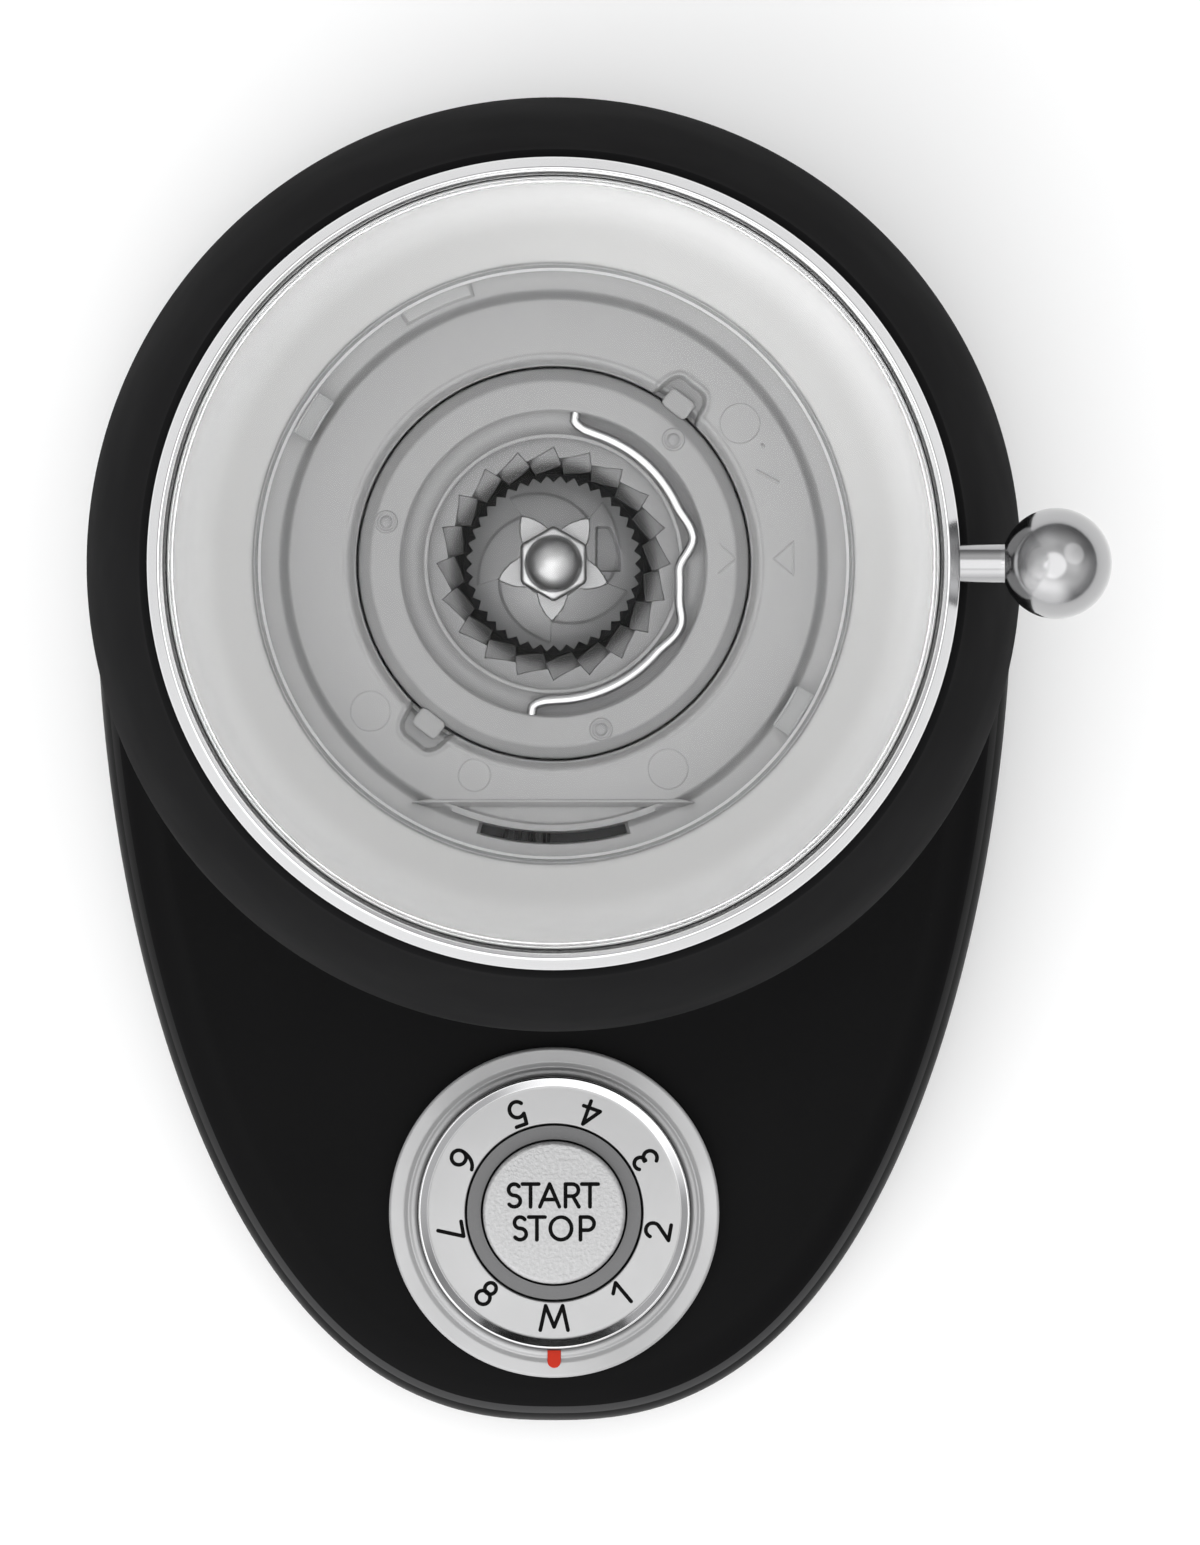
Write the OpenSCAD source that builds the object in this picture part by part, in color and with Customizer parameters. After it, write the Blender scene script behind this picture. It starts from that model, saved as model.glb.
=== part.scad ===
// Electric conical-burr coffee grinder: a round head on a column over an oval base,
// a clear lift-off hopper, a ball lever for the grind, a numbered dial and a grounds container.
// The burr axis is vertical, the front is towards -Y, and the part stands on Z = 0.

/* [Body] */
// Radius of the round head, and half the width of the base
head_r = 85; // [80:1:92]
// Room on the base in front of the dial
nose_margin = 8.1; // [6:0.1:16]
// Height of the rubber feet
foot_h = 3; // [2.5:0.5:6]
// Height of the base shell
base_h = 42; // [38:1:52]
// Rounding along the top edge of the base
base_fillet = 9; // [5:0.5:12]
// Height of the column between base and head
column_h = 141; // [136:1:160]
// Radius of the column's back
column_r = 77; // [72:0.5:78]
// Rounding of the column's two front corners
column_corner = 10; // [6:0.5:11]
// Height of the head shell
head_h = 100; // [97:1:120]
// Height at which the head is widest, above its underside
belly_h = 26; // [15:1:40]
// Rounding of the head's lower edge
head_fillet = 6; // [4:0.5:7]
// Wall of the painted shells
shell_t = 2.6; // [2:0.1:3.2]

/* [Grind adjuster] */
// Outer radius of the polished adjusting ring
ring_r = 73.3; // [72:0.1:75]
// Height of the adjusting ring
ring_h = 13.6; // [12:0.2:18]
// Wall of the adjusting ring
ring_t = 2.3; // [1.8:0.1:2.6]
// Distance from the burr axis to the middle of the lever ball
lever_reach = 91.6; // [89:0.2:105]
// Diameter of the lever stem
stem_d = 6.9; // [4:0.1:8]
// Radius of the lever ball
ball_r = 10; // [8:0.5:13]

/* [Hopper] */
// Radius of the opening in the hopper's floor
mouth_r = 54.2; // [53.6:0.1:55.2]
// Height of the clear hopper above its floor
hopper_h = 80; // [70:1:100]
// Wall of the clear hopper
hopper_t = 2.2; // [1.8:0.1:3]
// Rounding between the hopper's floor and wall
hopper_bend = 12; // [9:0.5:13]
// Slope of the hopper's floor, in degrees
hopper_slope = 20; // [12:1:24]
// Height of the clear lid above the hopper
lid_h = 12; // [9:0.5:16]

/* [Burrs] */
// Outer radius of the burr carrier
carrier_r = 35.3; // [35:0.1:35.6]
// Height of the burr carrier
carrier_h = 24; // [22:0.5:25]
// Depth of the ring burr below the deck
throat_depth = 7; // [6:0.2:8]
// Outer radius of the ring burr
ring_burr_r = 24; // [23.4:0.1:24.6]
// Height of the ring burr
ring_burr_h = 18; // [16:0.5:19]
// Radius over the cone burr's fine teeth
cone_burr_r = 16.5; // [15:0.1:16.9]
// Height of the cone burr
cone_burr_h = 17; // [15:0.5:18]
// Fine teeth on each burr
fine_teeth = 40; // [20:20:60]
// Coarse pockets round the ring burr's mouth
coarse_teeth = 20; // [10:10:30]
// Ribs that draw beans into the burrs
feed_ribs = 5; // [4:1:6]
// Wire of the burr carrier's bail
bail_d = 1.5; // [1.1:0.1:1.7]

/* [Dial] */
// Gap between the container's plinth and the dial
dial_gap = 5.3; // [3:0.1:14]
// Outer radius of the dial's bezel
bezel_r = 30.6; // [28.5:0.1:31.4]
// Radius of the dial's numbered face
dial_r = 23.6; // [22.6:0.1:24.2]
// Height of the dial's face above the base
dial_h = 8.5; // [7.8:0.1:9.5]
// Radius of the start and stop button
button_r = 13.2; // [11:0.1:13.6]
// Travel of the start and stop button
button_travel = 1.5; // [0.8:0.1:1.8]

/* [Container] */
// Distance of the grounds container in front of the burr axis
container_reach = 42; // [38:0.2:46]
// Outer radius of the grounds container
container_r = 40; // [36:0.2:43]
// Height of the grounds container without its lid
container_h = 104; // [80:1:106]
// Wall of the clear container
container_t = 2; // [1.6:0.1:3]
// Height of the plinth that the container stands on
plinth_h = 12; // [11:0.5:16]

/* [Drive] */
// Gear module
gear_m = 1; // [0.9:0.02:1.06]
// Teeth of the motor pinion
pinion_teeth = 12; // [10:1:14]
// Teeth of the compound gear's wheel
wheel_teeth = 48; // [44:1:50]
// Teeth of the compound gear's pinion
small_teeth = 14; // [12:1:16]
// Teeth of the output gear on the burr shaft
output_teeth = 56; // [52:1:60]
// Face width of the gears
gear_w = 8; // [6:0.5:10]
// Distance of the motor behind the burr axis
motor_y = 41.5; // [40:0.1:43]
// Radius of the motor can
motor_r = 29; // [24:0.5:32]
// Height of the motor can
motor_h = 66; // [50:1:90]
// Diameter of the burr shaft
shaft_d = 10; // [9:0.2:12]

/* [Hidden] */
$fn = 96;

// Clearances: running gap between moving pieces, gap of a sliding fit, gap of a tight fit, gap of a
// running shaft, seam between shells, and the overshoot of a cut past a face
run_gap = 0.4;
slide_gap = 0.1;
fit_gap = 0.02;
shaft_gap = 0.03;
seam = 0.4;
past = 1;

// The container, the dial and the base's nose follow one another in front of the burr axis
plinth_r = container_r + 1.8;
dial_reach = container_reach + plinth_r + dial_gap + bezel_r;
base_reach = dial_reach + bezel_r + nose_margin;

// The frame's origin is the middle of the part's footprint box, so the burr axis stands off it
lever_end = lever_reach + ball_r;
axis_at = [(head_r - lever_end) / 2, (base_reach - head_r) / 2, 0];

// Base and column levels
plate_t = 2.5;
base_z = foot_h;
base_top = base_z + base_h;
base_roof = base_top - shell_t;
plinth_top = base_top + plinth_h;
head_z = base_top + column_h;

// Head levels, from the floor up to the deck
floor_t = 4;
lip_top = head_z + shell_t;
floor_top = lip_top + floor_t;
head_top = head_z + head_h;
ring_gap = run_gap;
head_flange_t = 2.6;
ring_z = head_top + ring_gap;
web_t = 2.6;
web_top = ring_z + web_t;
deck_drop = 2;
deck_top = head_top - deck_drop;

// Outline of the base: round behind the axis, and a drawn-out oval in front of it
outline_n = 72;
side_power = 2 / 2.4;
nose_power = 2 / 1.9;
function base_outline(inset) = [
    for (i = [0 : outline_n - 1])
        let (t = 360 * i / outline_n, c = cos(t), s = sin(t))
        s >= 0
            ? (head_r - inset) * [c, s]
            : [
                (head_r - inset) * sign(c) * pow(abs(c), side_power),
                -(base_reach - inset) * pow(-s, nose_power)
            ]
];

// Points on an arc in a profile, from angle a to angle b
function arc(centre, r, a, b, steps = 8) = [
    for (i = [0 : steps])
        let (t = a + (b - a) * i / steps)
        centre + r * [cos(t), sin(t)]
];

// A solid through a stack of outlines of equal point count, each given as [points, z]
module loft(stack) {
    n = len(stack[0][0]);
    last = len(stack) - 1;
    points = [for (s = stack) for (p = s[0]) [p[0], p[1], s[1]]];
    sides = [
        for (j = [0 : last - 1])
            for (i = [0 : n - 1])
                let (k = (i + 1) % n, a = j * n, b = a + n)
                each [[a + i, b + i, b + k], [a + i, b + k, a + k]]
    ];
    ends = [[for (i = [0 : n - 1]) i], [for (i = [n - 1 : -1 : 0]) last * n + i]];
    polyhedron(points = points, faces = concat(sides, ends), convexity = 6);
}

// A tube swept along points, with a ring of sides square to the path at each point
function unit(v) = v / norm(v);
module wire(path, r, sides = 8) {
    last = len(path) - 1;
    stack = [
        for (i = [0 : last])
            let (
                ahead = unit(path[min(i + 1, last)] - path[max(i - 1, 0)]),
                up = [0, 0, 1],
                across = unit(cross(up, ahead)),
                over = cross(ahead, across)
            )
            [for (k = [0 : sides - 1])
                let (t = 360 * k / sides)
                path[i] + r * (cos(t) * across + sin(t) * over)]
    ];
    points = [for (s = stack) each s];
    walls = [
        for (j = [0 : last - 1])
            for (k = [0 : sides - 1])
                let (m = (k + 1) % sides, a = j * sides, b = a + sides)
                each [[a + k, b + k, b + m], [a + k, b + m, a + m]]
    ];
    ends = [[for (k = [0 : sides - 1]) k], [for (k = [sides - 1 : -1 : 0]) last * sides + k]];
    polyhedron(points = points, faces = concat(walls, ends), convexity = 6);
}

module on_axis() {
    translate(axis_at) children();
}

module revolve(points) {
    rotate_extrude() polygon(points);
}

module at_height(z) {
    translate([0, 0, z]) children();
}

module tube(r_out, r_in, h) {
    difference() {
        cylinder(r = r_out, h = h);
        at_height(-past) cylinder(r = r_in, h = h + 2 * past);
    }
}

// Part of a ring between two angles
module ring_part(r_in, r_out, h, from, sweep) {
    rotate([0, 0, from])
        rotate_extrude(angle = sweep)
            translate([r_in, 0]) square([r_out - r_in, h]);
}

// Base: a hollow painted shell with a rounded top edge
module base_skin(inset, bottom) {
    f = base_fillet - inset;
    turn = base_top - base_fillet;
    steps = 4;
    loft(concat(
        [[base_outline(inset), bottom]],
        [
            for (k = [0 : steps])
                let (a = 90 * k / steps)
                [base_outline(inset + f * (1 - cos(a))), turn + f * sin(a)]
        ]
    ));
}

boss_r = 4;
screw_d = 3;
screw_grip = 9;
boss_rear = [head_r - 27, head_r - 55];
boss_front = [head_r - 43, 58.6 - base_reach];
boss_spots = [for (s = [-1, 1]) for (p = [boss_rear, boss_front]) [s * p[0], p[1]]];
gland_z = base_z + base_h * 0.45;
gland_r = 6;
dial_hole_r = dial_r - 1.1;
wire_hole_r = 16;

module base_shell() {
    color("#1b1b1c") on_axis() difference() {
        union() {
            difference() {
                base_skin(0, base_z);
                base_skin(shell_t, base_z - past);
            }
            for (p = boss_spots)
                translate([p[0], p[1], base_z + plate_t])
                    cylinder(r = boss_r, h = base_roof - base_z - plate_t + shell_t / 2);
        }
        translate([0, -dial_reach, base_roof - past]) cylinder(r = dial_hole_r, h = shell_t + 2 * past);
        translate([0, motor_y, base_roof - past]) cylinder(r = wire_hole_r, h = shell_t + 2 * past);
        translate([0, head_r - 4 * shell_t, gland_z])
            rotate([-90, 0, 0]) cylinder(r = gland_r + fit_gap, h = 5 * shell_t);
        for (p = boss_spots)
            translate([p[0], p[1], base_z - past])
                cylinder(d = screw_d + 2 * fit_gap, h = plate_t + screw_grip + 2 * past);
    }
}

board_size = [74, 56, 1.6];
board_y = -14;
standoff_h = 6.5;
board_z = base_z + plate_t + standoff_h;
board_corners = [
    for (x = [-1, 1])
        for (y = [-1, 1])
            [x * (board_size[0] / 2 - 4), board_y + y * (board_size[1] / 2 - 4)]
];
vent_w = 3;
vent_l = 26;
vent_pitch = 7;
vent_count = 7;

module base_plate() {
    color("#242425") on_axis() difference() {
        union() {
            at_height(base_z) linear_extrude(plate_t) polygon(base_outline(shell_t + seam));
            for (p = board_corners)
                translate([p[0], p[1], base_z + plate_t]) cylinder(r = 3, h = standoff_h);
        }
        for (p = boss_spots)
            translate([p[0], p[1], base_z - past])
                cylinder(d = screw_d + 2 * slide_gap, h = plate_t + 2 * past);
        for (i = [0 : vent_count - 1])
            let (x = (i - (vent_count - 1) / 2) * vent_pitch - vent_w / 2)
            translate([x, motor_y - vent_l / 2, base_z - past])
                cube([vent_w, vent_l, plate_t + 2 * past]);
    }
}

foot_r = 9;
foot_rear = [head_r - 34, head_r - 35.7];
foot_front = [head_r - 54.4, 38 - base_reach];
foot_spots = [for (s = [-1, 1]) for (p = [foot_rear, foot_front]) [s * p[0], p[1]]];

module feet() {
    color("#2e2e2f") on_axis()
        for (p = foot_spots)
            translate([p[0], p[1], 0]) cylinder(r1 = foot_r - 1, r2 = foot_r, h = foot_h);
}

screw_head_r = 3;
screw_head_h = 1.6;

module base_screws() {
    color("#8b8d90") on_axis()
        for (p = boss_spots)
            translate([p[0], p[1], base_z - screw_head_h]) {
                cylinder(r1 = screw_head_r - 0.4, r2 = screw_head_r, h = screw_head_h);
                cylinder(d = screw_d, h = screw_head_h + plate_t + screw_grip);
            }
}

// Column: a round back, two rounded front corners and a niche that takes the container
column_front = 12;
niche_r = container_r + 5;
function column_points(inset) =
    let (
        r = column_r - inset,
        c = column_corner - inset,
        cy = -column_front + column_corner,
        cx = sqrt(pow(column_r - column_corner, 2) - cy * cy),
        meet = atan2(cy, cx)
    )
    concat(
        arc([-cx, cy], c, 180 - meet, 270),
        arc([cx, cy], c, 270, 360 + meet),
        arc([0, 0], r, meet + 3, 177 - meet, 60)
    );

module column_section(inset) {
    difference() {
        polygon(column_points(inset));
        translate([0, -container_reach]) circle(r = niche_r + inset);
    }
}

rear_split = 34;

module column_tube() {
    at_height(base_top) linear_extrude(column_h)
        difference() {
            column_section(0);
            column_section(shell_t);
        }
}

module behind(y) {
    translate([-2 * head_r, y, -past]) cube([4 * head_r, 2 * head_r, 2 * head_top]);
}

module column_shell() {
    color("#1b1b1c") on_axis() difference() {
        column_tube();
        behind(rear_split);
    }
}

slot_w = 3;
slot_h = 34;
slot_pitch = 8;
slot_count = 7;
slot_z = base_top + 14;

module rear_cover() {
    color("#1d1d1e") on_axis() difference() {
        intersection() {
            column_tube();
            behind(rear_split + seam);
        }
        for (i = [0 : slot_count - 1])
            translate([(i - (slot_count - 1) / 2) * slot_pitch - slot_w / 2, rear_split, slot_z])
                cube([slot_w, column_r, slot_h]);
    }
}

// Head: a bell whose side is one long arc, widest above its underside, with a flange at the top
ring_step = 1.2;
head_top_r = ring_r + ring_step;
belly_z = head_z + belly_h;
head_rise = head_top - belly_z;
head_fall = head_r - head_top_r;
head_arc_r = (head_rise * head_rise + head_fall * head_fall) / (2 * head_fall);
function head_side(z) = head_r - head_arc_r + sqrt(head_arc_r * head_arc_r - pow(z - belly_z, 2));
head_edge = 1.4;
head_lip = 11;
head_opening_r = head_r - head_lip;
skirt_r = 59;
flange_in_r = skirt_r + 1.5;
side_steps = 14;

module head_shell() {
    low = head_z + head_fillet;
    high = head_top - head_edge;
    inner_high = head_top - head_flange_t;
    step = (high - low) / side_steps;
    inner_step = (inner_high - low) / side_steps;
    low_c = [head_side(low) - head_fillet, low];
    high_c = [head_side(high) - head_edge, high];
    color("#1e1e1f") on_axis() revolve(concat(
        [[head_opening_r, head_z]],
        arc(low_c, head_fillet, -90, 0, 6),
        [for (i = [1 : side_steps - 1]) let (z = low + i * step) [head_side(z), z]],
        arc(high_c, head_edge, 0, 90, 4),
        [[flange_in_r, head_top], [flange_in_r, inner_high]],
        [for (i = [side_steps : -1 : 1]) let (z = low + i * inner_step) [head_side(z) - shell_t, z]],
        arc(low_c, head_fillet - shell_t, 0, -90, 6),
        [[head_opening_r, lip_top]]
    ));
}

floor_r = head_side(lip_top + floor_t) - head_fillet;
chute_in = [18, 15];
chute_t = 1.8;
chute_y = -48.5;
chute_out = chute_in + 2 * chute_t * [1, 1];

module chute_block(size, z, h) {
    translate([-size[0] / 2, chute_y - size[1] / 2, z]) cube([size[0], size[1], h]);
}

module head_floor() {
    color("#232324") on_axis() difference() {
        union() {
            at_height(lip_top) cylinder(r = floor_r, h = floor_t);
            at_height(head_z) cylinder(r = head_opening_r - seam, h = shell_t + floor_t / 2);
        }
        translate([0, motor_y, head_z - past])
            cylinder(r = motor_r + seam, h = shell_t + floor_t + 2 * past);
        chute_block(chute_out + 2 * slide_gap * [1, 1], head_z - past, shell_t + floor_t + 2 * past);
    }
}

// Container bay
mat_r = container_r - 4;
mat_t = 1;
mat_proud = 0.3;

module container_plinth() {
    edge = 2;
    color("#1b1b1c") on_axis() translate([0, -container_reach, base_top])
        revolve([
            [0, 0],
            [plinth_r, 0],
            [plinth_r, plinth_h - edge],
            [plinth_r - edge, plinth_h],
            [mat_r + slide_gap, plinth_h],
            [mat_r + slide_gap, plinth_h - mat_t + mat_proud],
            [0, plinth_h - mat_t + mat_proud]
        ]);
}

module container_mat() {
    color("#303031") on_axis()
        translate([0, -container_reach, plinth_top + mat_proud - mat_t]) cylinder(r = mat_r, h = mat_t);
}

container_z = plinth_top + mat_proud;
container_top = container_z + container_h;
container_taper = 2;
container_floor = 3;
container_foot_r = container_r - container_taper;

module container() {
    bend = 4;
    r_foot = container_foot_r;
    color("#c9d0d2", 0.5) on_axis() translate([0, -container_reach, container_z])
        revolve(concat(
            [[0, 0]],
            arc([r_foot - bend, bend], bend, -90, 0),
            [[container_r, container_h], [container_r - container_t, container_h]],
            arc([r_foot - bend, container_floor + bend], bend - container_t, 0, -90),
            [[0, container_floor + container_t]]
        ));
}

cap_t = 3;
cap_h = 7;
cap_r = container_r + 0.8;
cap_plug_h = 6;
cap_hole_r = 13;

module container_lid() {
    plug_r = container_r - container_t - run_gap;
    edge = 2;
    hole_y = chute_y + container_reach;
    color("#2a2a2b") on_axis() translate([0, -container_reach, container_top]) difference() {
        union() {
            revolve([
                [0, cap_h - cap_t],
                [plug_r - container_t, cap_h - cap_t],
                [plug_r - container_t, -cap_plug_h],
                [plug_r, -cap_plug_h],
                [plug_r, 0],
                [cap_r, 0],
                [cap_r, cap_h - edge],
                [cap_r - edge, cap_h],
                [0, cap_h]
            ]);
        }
        translate([0, hole_y, -past]) cylinder(r = cap_hole_r, h = cap_h + 2 * past);
    }
}

module cord_gland() {
    flange_r = gland_r + 2.5;
    flange_t = 2.5;
    bore_r = 3.6;
    inside_y = head_r - shell_t - 2;
    color("#161616") on_axis() translate([0, inside_y - flange_t, gland_z]) rotate([-90, 0, 0])
        revolve([
            [bore_r, 0],
            [flange_r, 0],
            [flange_r, flange_t],
            [gland_r, flange_t],
            [gland_r, flange_t + 3 * shell_t / 2],
            [bore_r, flange_t + 3 * shell_t / 2]
        ]);
}

// Control side of the base: a relay, a transformer and a connector, and two capacitors
relay_size = [19, 15.5, 15];
coil_size = [24, 20, 12];
plug_size = [10, 14, 8];
board_blocks = [[[-30, -20], relay_size], [[-4, -18], coil_size], [[-22, 12], plug_size]];
board_cans = [[28, -14, 10, 16], [16, 14, 8, 12]];
module control_board() {
    color("#2f5d43") on_axis() translate([0, board_y, board_z]) {
        translate([-board_size[0] / 2, -board_size[1] / 2, 0]) cube(board_size);
        at_height(board_size[2]) {
            for (b = board_blocks)
                translate([b[0][0], b[0][1], 0]) cube(b[1]);
            for (c = board_cans)
                translate([c[0], c[1], 0]) cylinder(d = c[2], h = c[3]);
        }
    }
}

collar_t = 2.5;
collar_in_r = button_r + run_gap;
collar_r = collar_in_r + collar_t;
dial_in_r = collar_r + slide_gap;
module_floor_t = 2;
module_h = 6;
module_z = base_roof - module_h;
module_deck = module_z + module_floor_t;
module_r = bezel_r - 1.6;
dial_face = base_top + dial_h;
collar_top = dial_face - 1;
button_top = dial_face + 0.5;

module at_dial() {
    translate([0, -dial_reach, 0]) children();
}

module control_module() {
    color("#4b4d50") on_axis() at_dial() {
        at_height(module_z) {
            cylinder(r = module_r, h = module_floor_t);
            tube(module_r, module_r - 2.5, module_h);
        }
        at_height(module_deck - module_floor_t / 2)
            tube(collar_r, collar_in_r, collar_top - module_deck + module_floor_t / 2);
    }
}

dial_skirt_r = dial_hole_r - 1.2;
dial_skirt_t = 2;
dial_rim = 1.6;
dial_low = base_top + 1.6;
encoder_h = base_roof - module_deck - seam;

module dial_encoder() {
    color("#6b5a32") on_axis() at_dial() at_height(module_deck)
        tube(dial_skirt_r, collar_r + seam, encoder_h);
}

switch_r = 5;
switch_h = 4;

module start_switch() {
    color("#202024") on_axis() at_dial() at_height(module_deck) {
        translate([-switch_r, -switch_r, 0]) cube([2 * switch_r, 2 * switch_r, switch_h]);
        cylinder(r = switch_r / 2, h = switch_h + 2);
    }
}

bezel_in_r = dial_r + dial_rim + run_gap;
bezel_h = 4.6;
pointer_w = 2.8;
pointer_l = 2.9;
pointer_t = 0.7;

// A small D, flat towards the dial and round towards the front
module pointer_shape(grow) {
    r = pointer_w / 2 + grow;
    top_y = -(bezel_in_r + 0.4) + grow;
    low_y = -(bezel_in_r + 0.4 + pointer_l - pointer_w / 2);
    translate([-r, low_y]) square([2 * r, top_y - low_y]);
    translate([0, low_y]) circle(r = r);
}

module dial_bezel() {
    edge = 1;
    color("#c3c5c6") on_axis() at_dial() at_height(base_top) difference() {
        revolve([
            [bezel_in_r, 0],
            [bezel_r, 0],
            [bezel_r, bezel_h - edge],
            [bezel_r - edge, bezel_h],
            [bezel_in_r + edge / 2, bezel_h],
            [bezel_in_r, bezel_h - edge / 2]
        ]);
        at_height(bezel_h - pointer_t) linear_extrude(pointer_t + past) pointer_shape(fit_gap);
    }
}

module pointer_mark() {
    color("#c4262b") on_axis() at_dial() at_height(base_top + bezel_h - pointer_t)
        linear_extrude(pointer_t + 0.1) pointer_shape(0);
}

module dial_ring() {
    rim_r = dial_r + dial_rim;
    color("#cfd0d1") on_axis() at_dial()
        revolve([
            [dial_in_r, dial_low],
            [dial_skirt_r - dial_skirt_t, dial_low],
            [dial_skirt_r - dial_skirt_t, base_roof + run_gap],
            [dial_skirt_r, base_roof + run_gap],
            [dial_skirt_r, dial_low],
            [rim_r, dial_low],
            [rim_r, dial_face - dial_rim],
            [dial_r, dial_face],
            [dial_in_r, dial_face]
        ]);
}

module start_button() {
    crown_t = 3;
    wall = 1.6;
    skirt = 5;
    edge = 0.5;
    switch_top = module_deck + switch_h + 2;
    color("#d4d5d6") on_axis() at_dial()
        revolve([
            [0, switch_top + button_travel + run_gap / 2],
            [switch_r / 2, switch_top + button_travel + run_gap / 2],
            [switch_r / 2, button_top - crown_t],
            [button_r - wall, button_top - crown_t],
            [button_r - wall, button_top - crown_t - skirt],
            [button_r, button_top - crown_t - skirt],
            [button_r, button_top - edge],
            [button_r - edge, button_top],
            [0, button_top]
        ]);
}

// Gearbox levels: the shaft's lower bearing, then the two gear stages
tray_t = 2.4;
bearing_r = shaft_d / 2 + 6;
bearing_h = 6;
tray_floor = floor_top + tray_t;
stage_gap = 2;
stage1_z = tray_floor + bearing_h + 1;
stage2_z = stage1_z + gear_w + stage_gap;
tray_top = stage2_z + gear_w + stage_gap;
cover_t = 4;
cover_top = tray_top + cover_t;
mesh_gap = 0.1;
pair1 = gear_m * (pinion_teeth + wheel_teeth) / 2 + mesh_gap;
pair2 = gear_m * (small_teeth + output_teeth) / 2 + mesh_gap;
pin_y = (pair2 * pair2 - pair1 * pair1 + motor_y * motor_y) / (2 * motor_y);
pin_x = sqrt(pair2 * pair2 - pin_y * pin_y);
pin_r = 3;
addendum = 0.8 * gear_m;
dedendum = 1.15 * gear_m;
backlash = 0.24 * gear_m;
function gear_tip(teeth) = gear_m * teeth / 2 + addendum;

// Straight-flanked teeth, thinned for backlash, with one tooth centred on the X axis
function gear_points(teeth) =
    let (
        pitch = gear_m * teeth / 2,
        half = 90 / teeth - (backlash / 2) / pitch * 180 / PI,
        lean = tan(22),
        tip_half = half - addendum * lean / pitch * 180 / PI,
        root_half = half + dedendum * lean * 0.8 / pitch * 180 / PI
    )
    [
        for (i = [0 : teeth - 1])
            let (t = 360 * i / teeth)
            each [
                (pitch - dedendum) * [cos(t - root_half), sin(t - root_half)],
                (pitch + addendum) * [cos(t - tip_half), sin(t - tip_half)],
                (pitch + addendum) * [cos(t + tip_half), sin(t + tip_half)],
                (pitch - dedendum) * [cos(t + root_half), sin(t + root_half)]
            ]
    ];

// Each gear is turned so that a tooth of one meets a gap of the next
to_pin = atan2(pin_y, pin_x);
to_motor = atan2(motor_y - pin_y, -pin_x);
output_turn = to_pin;
small_turn = to_pin + 180 + 180 / small_teeth;
wheel_turn = to_motor;
pinion_turn = to_motor + 180 + 180 / pinion_teeth;

module gear(teeth, h, turn) {
    rotate([0, 0, turn]) linear_extrude(h) polygon(gear_points(teeth));
}

module gearbox_outline(inset) {
    margin = 2.6 + tray_t - inset;
    hull() {
        circle(r = gear_tip(output_teeth) + margin, $fn = 48);
        translate([pin_x, pin_y]) circle(r = gear_tip(wheel_teeth) + margin, $fn = 48);
        translate([0, motor_y]) circle(r = gear_tip(pinion_teeth) + margin + 4, $fn = 32);
    }
}

rotor_r = 2.5;

module gearbox_tray() {
    color("#3a3b3d") on_axis() difference() {
        union() {
            difference() {
                at_height(floor_top) linear_extrude(tray_top - floor_top) gearbox_outline(0);
                at_height(tray_floor) linear_extrude(tray_top - floor_top) gearbox_outline(tray_t);
            }
            at_height(tray_floor - tray_t / 2) cylinder(r = bearing_r + 2.4, h = bearing_h + tray_t / 2);
            translate([pin_x, pin_y, tray_floor - tray_t / 2])
                cylinder(r = pin_r + 3, h = bearing_h + tray_t / 2);
        }
        at_height(tray_floor) cylinder(r = bearing_r + fit_gap, h = bearing_h + past);
        at_height(floor_top - past) cylinder(r = shaft_d / 2 + run_gap, h = tray_t + 2 * past);
        translate([pin_x, pin_y, tray_floor]) cylinder(r = pin_r + fit_gap, h = bearing_h + past);
        translate([0, motor_y, floor_top - past]) cylinder(r = rotor_r + run_gap, h = tray_t + 2 * past);
    }
}

module gearbox_cover() {
    color("#3a3b3d") on_axis() difference() {
        at_height(tray_top) linear_extrude(cover_t) gearbox_outline(0);
        at_height(tray_top - past) cylinder(r = shaft_d / 2 + run_gap, h = cover_t + 2 * past);
        translate([pin_x, pin_y, tray_top - past]) cylinder(r = pin_r + fit_gap, h = cover_t / 2 + past);
    }
}

module gear_pin() {
    color("#9a9da0") on_axis() translate([pin_x, pin_y, tray_floor])
        cylinder(r = pin_r, h = tray_top + cover_t / 2 - tray_floor);
}

module compound_gear() {
    color("#d9d4c2") on_axis() translate([pin_x, pin_y, 0]) difference() {
        union() {
            at_height(stage1_z) gear(wheel_teeth, gear_w, wheel_turn);
            at_height(stage1_z) gear(small_teeth, 2 * gear_w + stage_gap, small_turn);
        }
        at_height(stage1_z - past) cylinder(r = pin_r + shaft_gap, h = 2 * gear_w + stage_gap + 2 * past);
    }
}

module output_gear() {
    color("#d9d4c2") on_axis() difference() {
        at_height(stage2_z) gear(output_teeth, gear_w, output_turn);
        at_height(stage2_z - past) cylinder(d = shaft_d + 2 * fit_gap, h = gear_w + 2 * past);
    }
}

can_t = 1.8;
cap_plate_t = 4;
motor_low = floor_top - motor_h;

module motor_can() {
    color("#8f9193") on_axis() translate([0, motor_y, motor_low]) difference() {
        cylinder(r = motor_r, h = motor_h);
        at_height(-past) cylinder(r = motor_r - can_t, h = motor_h - 3 + past);
        cylinder(r = rotor_r + shaft_gap, h = motor_h + past);
    }
}

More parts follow.
